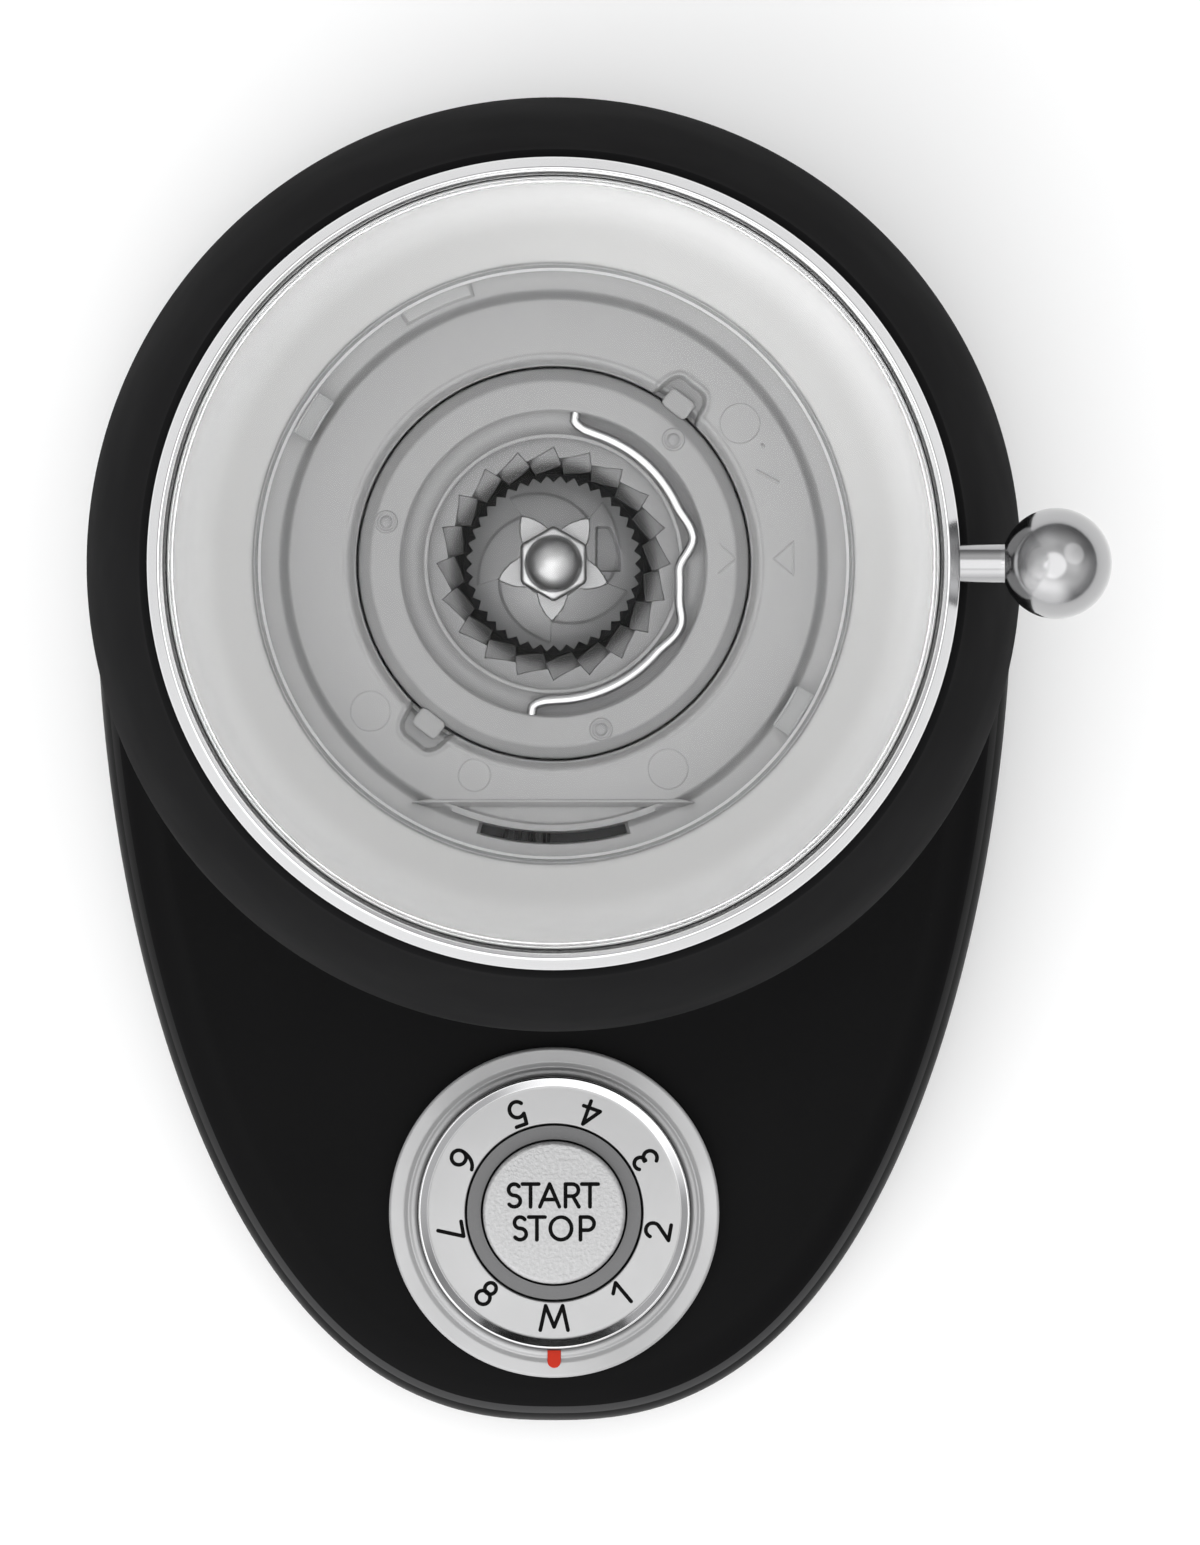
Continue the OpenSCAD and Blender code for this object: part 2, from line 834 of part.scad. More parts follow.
module motor_cap() {
    color("#2b2b2d") on_axis() translate([0, motor_y, motor_low - cap_plate_t]) difference() {
        union() {
            cylinder(r = motor_r, h = cap_plate_t);
            at_height(-3) cylinder(r = 8, h = cap_plate_t);
        }
        at_height(-1) cylinder(r = rotor_r + shaft_gap, h = cap_plate_t + 2 * past);
    }
}

module motor_rotor() {
    core_r = motor_r - can_t - 4;
    core_h = motor_h - 24;
    color("#70655a") on_axis() translate([0, motor_y, 0]) {
        at_height(motor_low - cap_plate_t)
            cylinder(r = rotor_r, h = stage1_z - motor_low + cap_plate_t + past);
        at_height(motor_low + 14) cylinder(r = core_r, h = core_h);
        at_height(motor_low + 4) cylinder(r = core_r / 3, h = 11);
        at_height(stage1_z) gear(pinion_teeth, gear_w, pinion_turn);
    }
}

// Burr chamber, seat and hub levels, measured down from the deck
chamber_depth = 40;
chamber_floor = deck_top - chamber_depth;
chamber_wall_h = 8;
chamber_top = chamber_floor + chamber_wall_h;
chamber_in_r = 32.5;
chamber_t = 3;
chamber_r = chamber_in_r + chamber_t;
chamber_plate_t = 4;
bearing2_z = chamber_floor - 3 - bearing_h;
chamber_flange_z = chamber_floor + 2;
chamber_flange_t = 4;
flange_top = chamber_flange_z + chamber_flange_t;
seat_in_r = carrier_r + 0.4;
seat_r = seat_in_r + 3.5;
seat_low = chamber_top + 1.2;
seat_top = deck_top - 7.4;
carrier_low = deck_top - carrier_h;
hub_in_r = seat_r + slide_gap;
hub_r = hub_in_r + 6.4;
hub_low = flange_top + 6;
hub_top = seat_top - 3;
rim_in_r = hub_in_r + 0.9;
post_in_r = hub_r + 1.6;
post_r = mouth_r + 0.9;
skirt_in_r = post_r + 1.3;
skirt_t = skirt_r - skirt_in_r;
post_angle = 30;
post_spots = [90, 210, 330];
spoke_spots = [30, 150, 270];
key_spots = [0, 180];
key_angle = 12;
burr_bolt_r = shaft_d / 2 - 1;
shoulder_z = chamber_floor + 2;

module burr_shaft() {
    color("#a6a9ac") on_axis() {
        at_height(tray_floor) cylinder(d = shaft_d, h = shoulder_z - tray_floor);
        at_height(tray_floor) cylinder(r = burr_bolt_r, h = cone_top + nut_h - tray_floor);
    }
}

module shaft_bearings() {
    color("#b6b8ba") on_axis()
        for (z = [tray_floor, bearing2_z])
            at_height(z) tube(bearing_r, shaft_d / 2 + shaft_gap, bearing_h);
}

module burr_chamber() {
    boss_t = 2.6;
    color("#9a9c9e") on_axis() difference() {
        union() {
            at_height(cover_top) tube(chamber_r, chamber_in_r, chamber_top - cover_top);
            at_height(chamber_floor - chamber_plate_t) cylinder(r = chamber_r, h = chamber_plate_t);
            at_height(bearing2_z) cylinder(r = bearing_r + boss_t, h = chamber_floor - bearing2_z);
            at_height(chamber_flange_z) tube(post_r, chamber_in_r, chamber_flange_t);
            at_height(flange_top - past) tube(hub_r, rim_in_r, hub_low - run_gap - flange_top + past);
        }
        at_height(bearing2_z - past) cylinder(r = bearing_r + fit_gap, h = bearing_h + past);
        at_height(bearing2_z) cylinder(r = shaft_d / 2 + run_gap, h = chamber_plate_t + bearing_h + past);
        chute_block(chute_out + 2 * slide_gap * [1, 1], cover_top - past, hub_low - cover_top + past);
        translate([-chute_in[0] / 2, chute_y, chamber_floor])
            cube([chute_in[0], -chute_y - chamber_in_r / 2, chamber_wall_h + past]);
        for (a = key_spots)
            let (sweep = key_angle + 2)
            at_height(chamber_floor + past)
                ring_part(chamber_in_r - past, chamber_r + slide_gap, chamber_wall_h, a - sweep / 2, sweep);
    }
}

nozzle_drop = 4;

module grounds_chute() {
    low = head_z - nozzle_drop;
    high = chamber_top;
    color("#2c2d2f") on_axis() difference() {
        union() {
            chute_block(chute_out, low, high - low);
            chute_block(chute_out + 5 * [1, 1], floor_top, 2);
        }
        chute_block(chute_in, low - past, high - low - chute_t + past);
        translate([-chute_in[0] / 2, chute_y, chamber_floor])
            cube([chute_in[0], chute_out[1], chamber_wall_h - chute_t]);
    }
}

// Burrs
ring_burr_top = deck_top - throat_depth;
ring_burr_low = ring_burr_top - ring_burr_h;
cone_top = ring_burr_top - 3;
cone_low = cone_top - cone_burr_h;
nut_h = 5;
nut_flats = 12;
dome_r = 5;
burr_gap = 0.7;
round_n = 120;

// A burr's surface in rings of round_n points: each row is [height, radius, teeth depth, twist]
function saw(x) = let (f = x - floor(x)) f < 0.7 ? f / 0.7 : (1 - f) / 0.3;
function pocket(x) = let (f = x - floor(x)) f < 0.2 ? f / 0.2 : (f < 0.7 ? 1 : max(0, (0.85 - f) / 0.15));
function lobe(x) = pow(max(0, cos(360 * x)), 2);

function cone_ring(row) = [
    for (i = [0 : round_n - 1])
        let (
            t = 360 * i / round_n,
            u = (t - row[4]) / 360,
            r = row[1] - row[2] * (1 - saw(u * fine_teeth)) + row[3] * lobe(u * feed_ribs)
        )
        r * [cos(t), sin(t)]
];

module cone_burr() {
    h = cone_burr_h;
    r = cone_burr_r;
    rows = [
        [0, r - 0.4, 0.9, 0, 0],
        [0.12 * h, r, 1.0, 0, 2],
        [0.4 * h, r - 1.6, 1.1, 0, 10],
        [0.58 * h, r - 3, 1.1, 0, 16],
        [0.6 * h, r - 5.2, 0.2, 2, 17],
        [0.76 * h, r - 7.6, 0, 3.4, 30],
        [0.95 * h, r - 8.9, 0, 3, 46],
        [h, r - 8.9, 0, 0.4, 50]
    ];
    color("#6f7173") on_axis() at_height(cone_low) difference() {
        loft([for (row = rows) [cone_ring(row), row[0]]]);
        at_height(-past) cylinder(r = burr_bolt_r + fit_gap, h = h + 2 * past);
    }
}

// Fine teeth at the bottom of the ring burr grow into coarse pockets at its mouth
function ring_ring(row) = [
    for (i = [0 : round_n - 1])
        let (
            t = 360 * i / round_n,
            u = (t - row[4]) / 360,
            r = row[1] + row[2] * saw(u * fine_teeth) + row[3] * pocket(u * coarse_teeth)
        )
        r * [cos(t), sin(t)]
];

module ring_burr() {
    h = ring_burr_h;
    r = cone_burr_r + burr_gap;
    rows = [
        [-past, r + 0.6, 0.9, 0, 0],
        [0, r + 0.5, 0.9, 0, 0],
        [0.22 * h, r, 0.9, 0, -3],
        [0.5 * h, r, 1, 0.4, -8],
        [0.72 * h, r + 0.2, 0.5, 2.2, -12],
        [h, r + 0.9, 0, 3.1, -16],
        [h + past, r + 1, 0, 3.1, -17]
    ];
    color("#7c7e80") on_axis() at_height(ring_burr_low) difference() {
        cylinder(r = ring_burr_r, h = h);
        loft([for (row = rows) [ring_ring(row), row[0]]]);
    }
}

module burr_nut() {
    color("#c9cbcd") on_axis() at_height(cone_top) difference() {
        union() {
            cylinder(r = nut_flats / 2 / cos(30), h = nut_h, $fn = 6);
            intersection() {
                at_height(nut_h - 0.6) sphere(r = dome_r);
                at_height(nut_h / 2) cylinder(r = dome_r, h = 2 * dome_r);
            }
        }
        at_height(-past) cylinder(r = burr_bolt_r + fit_gap, h = nut_h + past + fit_gap);
    }
}

sweep_gap = 0.6;

module sweeper() {
    hub = burr_bolt_r + 4.5;
    reach = chamber_in_r - 1.5;
    vane_t = 3;
    vane_h = 6;
    color("#b9bbbd") on_axis() difference() {
        union() {
            at_height(shoulder_z) cylinder(r = hub, h = cone_low - shoulder_z);
            for (a = [0, 120, 240])
                rotate([0, 0, a + 30]) translate([0, -vane_t / 2, shoulder_z + sweep_gap])
                    cube([reach, vane_t, vane_h]);
        }
        at_height(shoulder_z - past)
            cylinder(r = burr_bolt_r + fit_gap, h = cone_low - shoulder_z + 2 * past);
    }
}

// Burr carrier: flat top with a bevelled rim, a cove where the bail lies, and two key lugs
flat_r = carrier_r - 2.1;
cove_r = 27.6;
cove_bend = 2.4;
throat_r = ring_burr_r - 1.2;
bail_axis_a = 81.7;
bail_z = deck_top - 2.7;
lug_spots = [52, 232];
lug_w = 5;
lug_out = 3.6;
notch_gap = 0.5;
screw_spots = [46, 166, 286];
carrier_screw_at = carrier_r - 4.1;
carrier_screw_r = 1.7;

module burr_carrier() {
    bevel = 3;
    color("#a9abac") on_axis() difference() {
        union() {
            revolve(concat(
                [
                    [ring_burr_r + fit_gap, carrier_low],
                    [carrier_r, carrier_low],
                    [carrier_r, deck_top - bevel],
                    [flat_r, deck_top],
                    [cove_r, deck_top]
                ],
                arc([cove_r - cove_bend, deck_top - 1.8], cove_bend, 0, -90),
                [
                    [throat_r, deck_top - 1.8 - cove_bend - 0.5],
                    [throat_r, ring_burr_top],
                    [ring_burr_r + fit_gap, ring_burr_top]
                ]
            ));
            for (a = lug_spots)
                rotate([0, 0, a]) translate([carrier_r - 1.4, -lug_w / 2, deck_top - 3.4])
                    cube([lug_out + 1.4, lug_w, 2.2]);
        }
        for (s = [0, 180])
            rotate([0, 0, bail_axis_a + s]) translate([cove_r - 1.6, 0, bail_z]) rotate([0, 90, 0])
                cylinder(r = bail_d / 2 + 2 * shaft_gap, h = 4.2);
        for (a = screw_spots)
            rotate([0, 0, a]) translate([carrier_screw_at, 0, deck_top]) {
                at_height(-1.4) cylinder(r = carrier_screw_r + slide_gap, h = 1.4 + past);
                at_height(-14) cylinder(r = carrier_screw_r / 2 + slide_gap, h = 14);
            }
    }
}

module carrier_screws() {
    color("#8f9193") on_axis()
        for (a = screw_spots)
            rotate([0, 0, a]) translate([carrier_screw_at, 0, deck_top]) {
                at_height(-1.4) cylinder(r = carrier_screw_r, h = 1.2);
                at_height(-13) cylinder(r = carrier_screw_r / 2, h = 12);
            }
}

// Bail: pivot ends that stand in the carrier's wall, and a bow that lies round the throat with a
// finger grip pressed into its middle
bail_r = cove_r - 2.9;
grip_in = 1.7;
grip_half = 26;
grip_a = -8;
function grip_wave(a) = cos(min(abs(a - grip_a), grip_half) * 90 / grip_half);
function bail_radius(a) = bail_r - grip_in * pow(max(0, grip_wave(a)), 0.7);
bail_bow = 160;
bail_steps = 36;

module bail_handle() {
    out_r = cove_r + 1.8;
    first = bail_axis_a;
    end = function (a, r) r * [cos(a), sin(a), 0];
    bow = [
        for (i = [0 : bail_steps])
            let (a = -8.3 + bail_bow / 2 - bail_bow * i / bail_steps)
            bail_radius(a) * [cos(a), sin(a), 0]
    ];
    path = concat(
        [end(first, out_r), end(first, bail_r + 1.3), end(first - 2.5, bail_r + 0.3)],
        bow,
        [end(first - 177.5, bail_r + 0.3), end(first - 180, bail_r + 1.3), end(first - 180, out_r)]
    );
    color("#d6d8da") on_axis() at_height(bail_z) wire(path, bail_d / 2);
}

// Burr seat: a threaded sleeve that carries the burr carrier and can't turn
module burr_seat() {
    ledge_t = 3;
    key_in_r = chamber_in_r + slide_gap;
    key_r = chamber_r - run_gap;
    key_low = chamber_floor + 2.4;
    color("#545659") on_axis() {
        difference() {
            at_height(seat_low) cylinder(r = seat_r, h = seat_top - seat_low);
            at_height(carrier_low) cylinder(r = seat_in_r, h = seat_top);
            at_height(seat_low - past) cylinder(r = seat_in_r - 2.6, h = seat_top);
            at_height(seat_low - past) cylinder(r = seat_in_r, h = carrier_low - ledge_t - seat_low + past);
        }
        for (a = key_spots)
            at_height(key_low)
                ring_part(key_in_r, key_r, seat_low - key_low + past, a - key_angle / 2, key_angle);
        for (a = key_spots)
            at_height(seat_low) ring_part(key_in_r, seat_r - past, past, a - key_angle / 2, key_angle);
    }
}

// Adjusting hub: a threaded ring round the seat, with three spokes out to a skirt and a top web
spoke_w = 8;
spoke_t = 5;
spoke_z = hub_low + 9;

module adjust_hub() {
    web_r = ring_r - ring_t - fit_gap;
    color("#303133") on_axis() difference() {
        union() {
            at_height(hub_low) tube(hub_r, hub_in_r, hub_top - hub_low);
            at_height(spoke_z) tube(skirt_r, skirt_in_r, web_top - spoke_z);
            at_height(ring_z) tube(web_r, skirt_in_r, web_t);
            for (a = spoke_spots)
                rotate([0, 0, a]) translate([hub_r - 2, -spoke_w / 2, spoke_z])
                    cube([skirt_r - skirt_t / 2 - hub_r + 2, spoke_w, spoke_t]);
        }
    }
}

module adjust_ring() {
    lean = ring_t - 0.2;
    color("#c8cacb") on_axis() difference() {
        at_height(ring_z)
            revolve([
                [ring_r - ring_t, 0],
                [ring_r - 0.4, 0],
                [ring_r, 0.4],
                [ring_r, ring_h - lean],
                [ring_r - lean, ring_h],
                [ring_r - ring_t, ring_h]
            ]);
        translate([ring_r - 2 * ring_t, 0, lever_z]) rotate([0, 90, 0])
            cylinder(d = stem_d + 2 * fit_gap, h = 4 * ring_t);
    }
}

lever_z = ring_z + ring_h / 2;
stem_grip = 5;

module lever_stem() {
    start = ring_r - ring_t;
    stop = lever_reach - ball_r + stem_grip;
    color("#d6d8da") on_axis() translate([start, 0, lever_z]) rotate([0, 90, 0])
        cylinder(d = stem_d, h = stop - start);
}

module lever_ball() {
    reach = ball_r + past;
    color("#dcdee0") on_axis() translate([lever_reach, 0, lever_z]) rotate([0, 90, 0])
        rotate_extrude() difference() {
            intersection() {
                circle(r = ball_r);
                translate([0, -reach]) square([reach, 2 * reach]);
            }
            translate([-past, -reach]) square([stem_d / 2 + fit_gap + past, stem_grip + past]);
        }
}

// Deck: the grey moulding round the burrs, with a channel, a front ledge with a slot, and a dish
// under the clear hopper
deck_in_r = carrier_r + 0.5;
deck_plate_t = 5;
channel_r = mouth_r - 4.6;
channel_drop = 2.5;
deck_flat_r = channel_r - 2;
dish_t = 1.9;
dish_z = web_top + 0.6;
dish_top = dish_z + dish_t;
hopper_z = dish_top + run_gap;
hopper_r = ring_r - ring_t - 1;
bend_x = hopper_r - hopper_bend;
bend_z = hopper_z + (bend_x - mouth_r) * tan(hopper_slope) + hopper_bend / cos(hopper_slope);
function bowl_bend(inset, to) = arc([bend_x, bend_z], hopper_bend + inset, hopper_slope - 90, to);
chord_y = -(deck_flat_r - 4.4);
slot_in_r = deck_flat_r - 0.9;
slot_out_r = channel_r + 1.2;
slot_angle = 32;

module hopper_deck() {
    low = deck_top - deck_plate_t;
    channel_z = deck_top - channel_drop;
    lip = 1.8;
    floor_gap = run_gap;
    dish_reach = ring_r - ring_t - run_gap - bend_x;
    dish_end = -acos(dish_reach / (hopper_bend + floor_gap + dish_t));
    under = bowl_bend(floor_gap + dish_t, dish_end);
    above = bowl_bend(floor_gap, dish_end);
    color("#adafb0") on_axis() difference() {
        union() {
            revolve(concat(
                [
                    [deck_in_r, low],
                    [post_r, low],
                    [post_r, dish_z - 0.2],
                    [post_r + 0.8, dish_z]
                ],
                under,
                [for (i = [len(above) - 1 : -1 : 0]) above[i]],
                [
                    [mouth_r, hopper_z - floor_gap],
                    [mouth_r, channel_z],
                    [channel_r, channel_z],
                    [channel_r - 0.7, channel_z + 0.4],
                    [deck_flat_r + 0.3, deck_top - 0.3],
                    [deck_flat_r, deck_top],
                    [deck_in_r + lip, deck_top],
                    [deck_in_r, deck_top - 2.4]
                ]
            ));
            for (a = post_spots)
                at_height(flange_top)
                    ring_part(post_in_r, post_r, low - flange_top + past, a - post_angle / 2, post_angle);
        }
        for (a = lug_spots)
            rotate([0, 0, a]) translate([deck_in_r - past, -lug_w / 2 - notch_gap, low - past])
                cube([lug_out + past, lug_w + 2 * notch_gap, deck_plate_t + 2 * past]);
        intersection() {
            translate([-head_r, chord_y - head_r, channel_z]) cube([2 * head_r, head_r, deck_plate_t]);
            at_height(channel_z) cylinder(r = channel_r, h = deck_plate_t);
        }
        at_height(low - past)
            ring_part(slot_in_r, slot_out_r, deck_plate_t + past, 270 - slot_angle / 2, slot_angle);
    }
}

// Interlock switch under the front slot, with a ribbed actuator that shows through it
module interlock_switch() {
    low = deck_top - deck_plate_t;
    rib_pitch = 4;
    gap = run_gap;
    ear = 1.2;
    body_h = 4;
    color("#151516") on_axis() {
        at_height(low - body_h)
            ring_part(slot_in_r - ear, slot_out_r + ear, body_h, 270 - slot_angle / 2 - 2, slot_angle + 4);
        at_height(low - body_h / 2)
            ring_part(slot_in_r + gap, slot_out_r - gap, body_h / 2 + ear, 271 - slot_angle / 2, slot_angle - 2);
        for (i = [-3 : 3])
            rotate([0, 0, 270 + i * rib_pitch]) translate([slot_in_r + gap, -0.6, low])
                cube([slot_out_r - slot_in_r - 2 * gap, 1.2, 1.6]);
    }
}

// Clear hopper: a neck in the deck's channel, a sloping floor, a rounded bend and a straight wall
neck_r = mouth_r - 0.3;
neck_t = 1.4;
tab_spots = [148.5, 328.5];
tab_w = 8;

module hopper() {
    inner = bowl_bend(-hopper_t, 0);
    outer = bowl_bend(0, 0);
    top = hopper_z + hopper_h;
    foot = deck_top - channel_drop;
    rise = hopper_t / cos(hopper_slope);
    neck_in_r = neck_r - neck_t;
    color("#cfd6d8", 0.45) on_axis() {
        revolve(concat(
            [[neck_in_r, foot], [neck_r, foot], [neck_r, hopper_z - 0.2]],
            outer,
            [[hopper_r, top], [hopper_r - hopper_t, top]],
            [for (i = [len(inner) - 1 : -1 : 0]) inner[i]],
            [[neck_in_r, hopper_z + rise - 0.4]]
        ));
        for (a = tab_spots)
            rotate([0, 0, a]) translate([channel_r + 0.5, -tab_w / 2, foot])
                cube([neck_in_r - channel_r + 0.2, tab_w, 5]);
    }
}

hopper_top = hopper_z + hopper_h;
plug_h = 10;
plug_t = 2;
lid_t = 2;
lid_edge = 5;
seal_d = 2;
seal_out = 0.3;
plug_r = hopper_r - hopper_t - 0.6;
seal_z = hopper_top - plug_h / 2;

module hopper_lid() {
    crown = 1;
    top = hopper_top + lid_h;
    shoulder = [hopper_r - lid_edge, top - crown - lid_edge];
    groove = seal_d / 2;
    color("#d7dde0", 0.4) on_axis()
        revolve(concat(
            [
                [0, top - lid_t],
                [hopper_r - lid_edge - 4, top - crown - lid_t],
                [plug_r - plug_t, top - crown - lid_t - 2],
                [plug_r - plug_t, hopper_top - plug_h],
                [plug_r, hopper_top - plug_h],
                [plug_r, seal_z - groove],
                [plug_r - groove / 2, seal_z - groove],
                [plug_r - groove / 2, seal_z + groove],
                [plug_r, seal_z + groove],
                [plug_r, hopper_top],
                [hopper_r, hopper_top]
            ],
            arc(shoulder, lid_edge, 0, 90),
            [[0, top]]
        ));
}

module lid_seal() {
    groove = seal_d / 2;
    color("#e4e6e6", 0.7) on_axis() at_height(seal_z - groove)
        tube(plug_r + seal_out, plug_r - groove / 2 + fit_gap, seal_d);
}

base_shell();
base_plate();
feet();
base_screws();
column_shell();
rear_cover();
head_shell();
head_floor();
container_plinth();
container_mat();
cord_gland();
control_board();
control_module();
dial_encoder();
start_switch();
dial_bezel();
pointer_mark();
dial_ring();
start_button();
motor_can();
motor_cap();
motor_rotor();
gearbox_tray();
gearbox_cover();
gear_pin();
compound_gear();
output_gear();
burr_shaft();
shaft_bearings();
burr_chamber();
grounds_chute();
sweeper();
cone_burr();
burr_nut();
ring_burr();
burr_carrier();
carrier_screws();
bail_handle();
burr_seat();
adjust_hub();
adjust_ring();
lever_stem();
lever_ball();
hopper_deck();
interlock_switch();
hopper();
hopper_lid();
lid_seal();
container();
container_lid();
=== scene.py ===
"""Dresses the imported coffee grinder: painted shells, clear hopper, moulded deck, burrs and dial."""

import logging
from dataclasses import dataclass, field
from enum import Enum
from typing import Any, Dict, List, Optional, Sequence, Tuple, Union

import bpy
import numpy as np
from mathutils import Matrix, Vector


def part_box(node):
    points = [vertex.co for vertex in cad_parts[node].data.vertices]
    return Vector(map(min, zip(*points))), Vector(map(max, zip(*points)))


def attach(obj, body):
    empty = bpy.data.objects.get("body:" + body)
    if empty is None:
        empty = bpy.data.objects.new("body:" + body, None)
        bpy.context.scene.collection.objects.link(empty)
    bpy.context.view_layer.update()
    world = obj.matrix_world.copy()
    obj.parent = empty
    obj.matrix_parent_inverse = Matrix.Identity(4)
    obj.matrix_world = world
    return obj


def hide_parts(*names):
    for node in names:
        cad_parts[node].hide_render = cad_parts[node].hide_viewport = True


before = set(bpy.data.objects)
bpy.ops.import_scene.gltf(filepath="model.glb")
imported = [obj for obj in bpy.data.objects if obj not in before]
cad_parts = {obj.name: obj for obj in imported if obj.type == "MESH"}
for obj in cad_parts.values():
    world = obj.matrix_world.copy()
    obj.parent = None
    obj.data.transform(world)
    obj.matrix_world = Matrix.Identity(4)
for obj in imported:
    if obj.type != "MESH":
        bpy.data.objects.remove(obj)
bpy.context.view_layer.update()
LOG = logging.getLogger("grinder")
SMOOTH_LIMIT = np.radians(38.0)

Array = np.ndarray
Number = Union[float, Array]
Pair = Tuple[float, float]
Colour = Tuple[float, float, float]
Points = Union[Array, Sequence[Sequence[float]]]
Tree = bpy.types.NodeTree
Node = bpy.types.Node
Socket = bpy.types.NodeSocket
Values = Dict[Union[int, str], Any]


def burr_axis() -> Array:
    """Returns the burr axis in metres, as the middle of the head shell's box seen from above."""
    low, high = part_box("head_shell")
    return np.array([(low[0] + high[0]) / 2, (low[1] + high[1]) / 2, 0.0])


AXIS = burr_axis()
BURR_AT = (float(AXIS[0]), float(AXIS[1]))
DIAL_REACH = 119.7
DIAL_AT = (BURR_AT[0], BURR_AT[1] - DIAL_REACH / 1000)
LUG_TURNS = (52.0, 232.0)


@dataclass
class Shape:
    """A mesh in millimetres from the burr axis: its corners, four-sided faces and three-sided faces."""

    points: Array
    quads: Array
    tris: Array = field(default_factory=lambda: np.zeros((0, 3), int))

    def moved(self, x: float, y: float, z: float) -> "Shape":
        """Returns the shape shifted by x, y and z."""
        return Shape(self.points + np.array([x, y, z]), self.quads, self.tris)

    def turned(self, degrees: float) -> "Shape":
        """Returns the shape turned about the vertical axis."""
        c, s = np.cos(np.radians(degrees)), np.sin(np.radians(degrees))
        return Shape(self.points @ np.array([[c, s, 0], [-s, c, 0], [0, 0, 1]]), self.quads, self.tris)

    def laid_along_x(self) -> "Shape":
        """Returns the shape with its own upward axis laid along +X."""
        x, y, z = self.points.T
        return Shape(np.stack([z, y, -x], axis=1), self.quads, self.tris)

    def face_count(self) -> int:
        """Returns how many faces the shape has."""
        return len(self.quads) + len(self.tris)


def joined(shapes: Sequence[Shape]) -> Shape:
    """Puts several shapes into one mesh.

    Args:
        shapes: the shapes to keep side by side.

    Returns:
        One shape that holds them all.
    """
    starts = np.cumsum([0] + [len(s.points) for s in shapes])
    return Shape(
        np.concatenate([s.points for s in shapes]),
        np.concatenate([s.quads + k for s, k in zip(shapes, starts)]),
        np.concatenate([s.tris + k for s, k in zip(shapes, starts)]),
    )


def full_turn(count: int) -> Array:
    """Returns evenly spaced angles in degrees, from 0 and short of 360."""
    return np.arange(count) * 360.0 / count


def polar(radius: Number, turn: Number, height: Number) -> Array:
    """Points (radius cos turn, radius sin turn, height), spread over each other, with the turn in degrees."""
    t = np.radians(turn)
    return np.stack(np.broadcast_arrays(radius * np.cos(t), radius * np.sin(t), height), axis=-1)


def lifted(plan: Points, height: float) -> Array:
    """Returns the points of a plan at one height."""
    return np.column_stack([plan, np.full(len(plan), height)])


def filled(points: Points, steps: int) -> Array:
    """Splits each stretch between neighbouring points into equal steps.

    Args:
        points: the points of a path.
        steps: how many steps a stretch has.

    Returns:
        The path with the new points.
    """
    p = np.asarray(points, float)
    at = np.linspace(0, len(p) - 1, steps * (len(p) - 1) + 1)
    return np.stack([np.interp(at, np.arange(len(p)), column) for column in p.T], axis=1)


def arc(
    centre: Sequence[float], radius: Union[float, Pair], start: float, stop: float, steps: int = 16
) -> Array:
    """Centre plus radius times (cos t, sin t), t in degrees; two radii make an ellipse."""
    t = np.radians(np.linspace(start, stop, steps + 1))
    return np.asarray(centre) + np.asarray(radius) * np.stack([np.cos(t), np.sin(t)], axis=1)


def middles(outline: Array) -> Array:
    """Returns the middle of each side of a closed outline."""
    return (outline + np.roll(outline, -1, axis=0)) / 2


def ramp(x: Array, low: float, high: float) -> Array:
    """Rises from 0 at low to 1 at high as 3t squared minus 2t cubed."""
    t = np.clip((x - low) / (high - low), 0, 1)
    return t * t * (3 - 2 * t)


def within(x: Array, half: float, soft: float) -> Array:
    """Returns 1 where x is nearer to 0 than half, and 0 outside, over an edge of twice the soft width."""
    return ramp(-np.abs(x), -half - soft, soft - half)


def away(turn: Array, at: float) -> Array:
    """Returns how many degrees a turn is away from another, on the shorter way round."""
    return np.abs((turn - at + 180) % 360 - 180)


def grid_quads(rows: int, cols: int, wrap_rows: bool, wrap_cols: bool) -> Array:
    """Joins neighbouring points of a grid into faces.

    Args:
        rows: points along the profile.
        cols: points round or along the path.
        wrap_rows: whether the last row joins the first.
        wrap_cols: whether the last column joins the first.

    Returns:
        Corner numbers of the faces, which look outwards for a profile that runs anticlockwise.
    """
    i, j = np.meshgrid(
        np.arange(rows if wrap_rows else rows - 1),
        np.arange(cols if wrap_cols else cols - 1),
        indexing="ij",
    )
    below, beside = (i + 1) % rows, (j + 1) % cols
    corners = [i * cols + j, i * cols + beside, below * cols + beside, below * cols + j]
    return np.stack(corners, axis=-1).reshape(-1, 4)


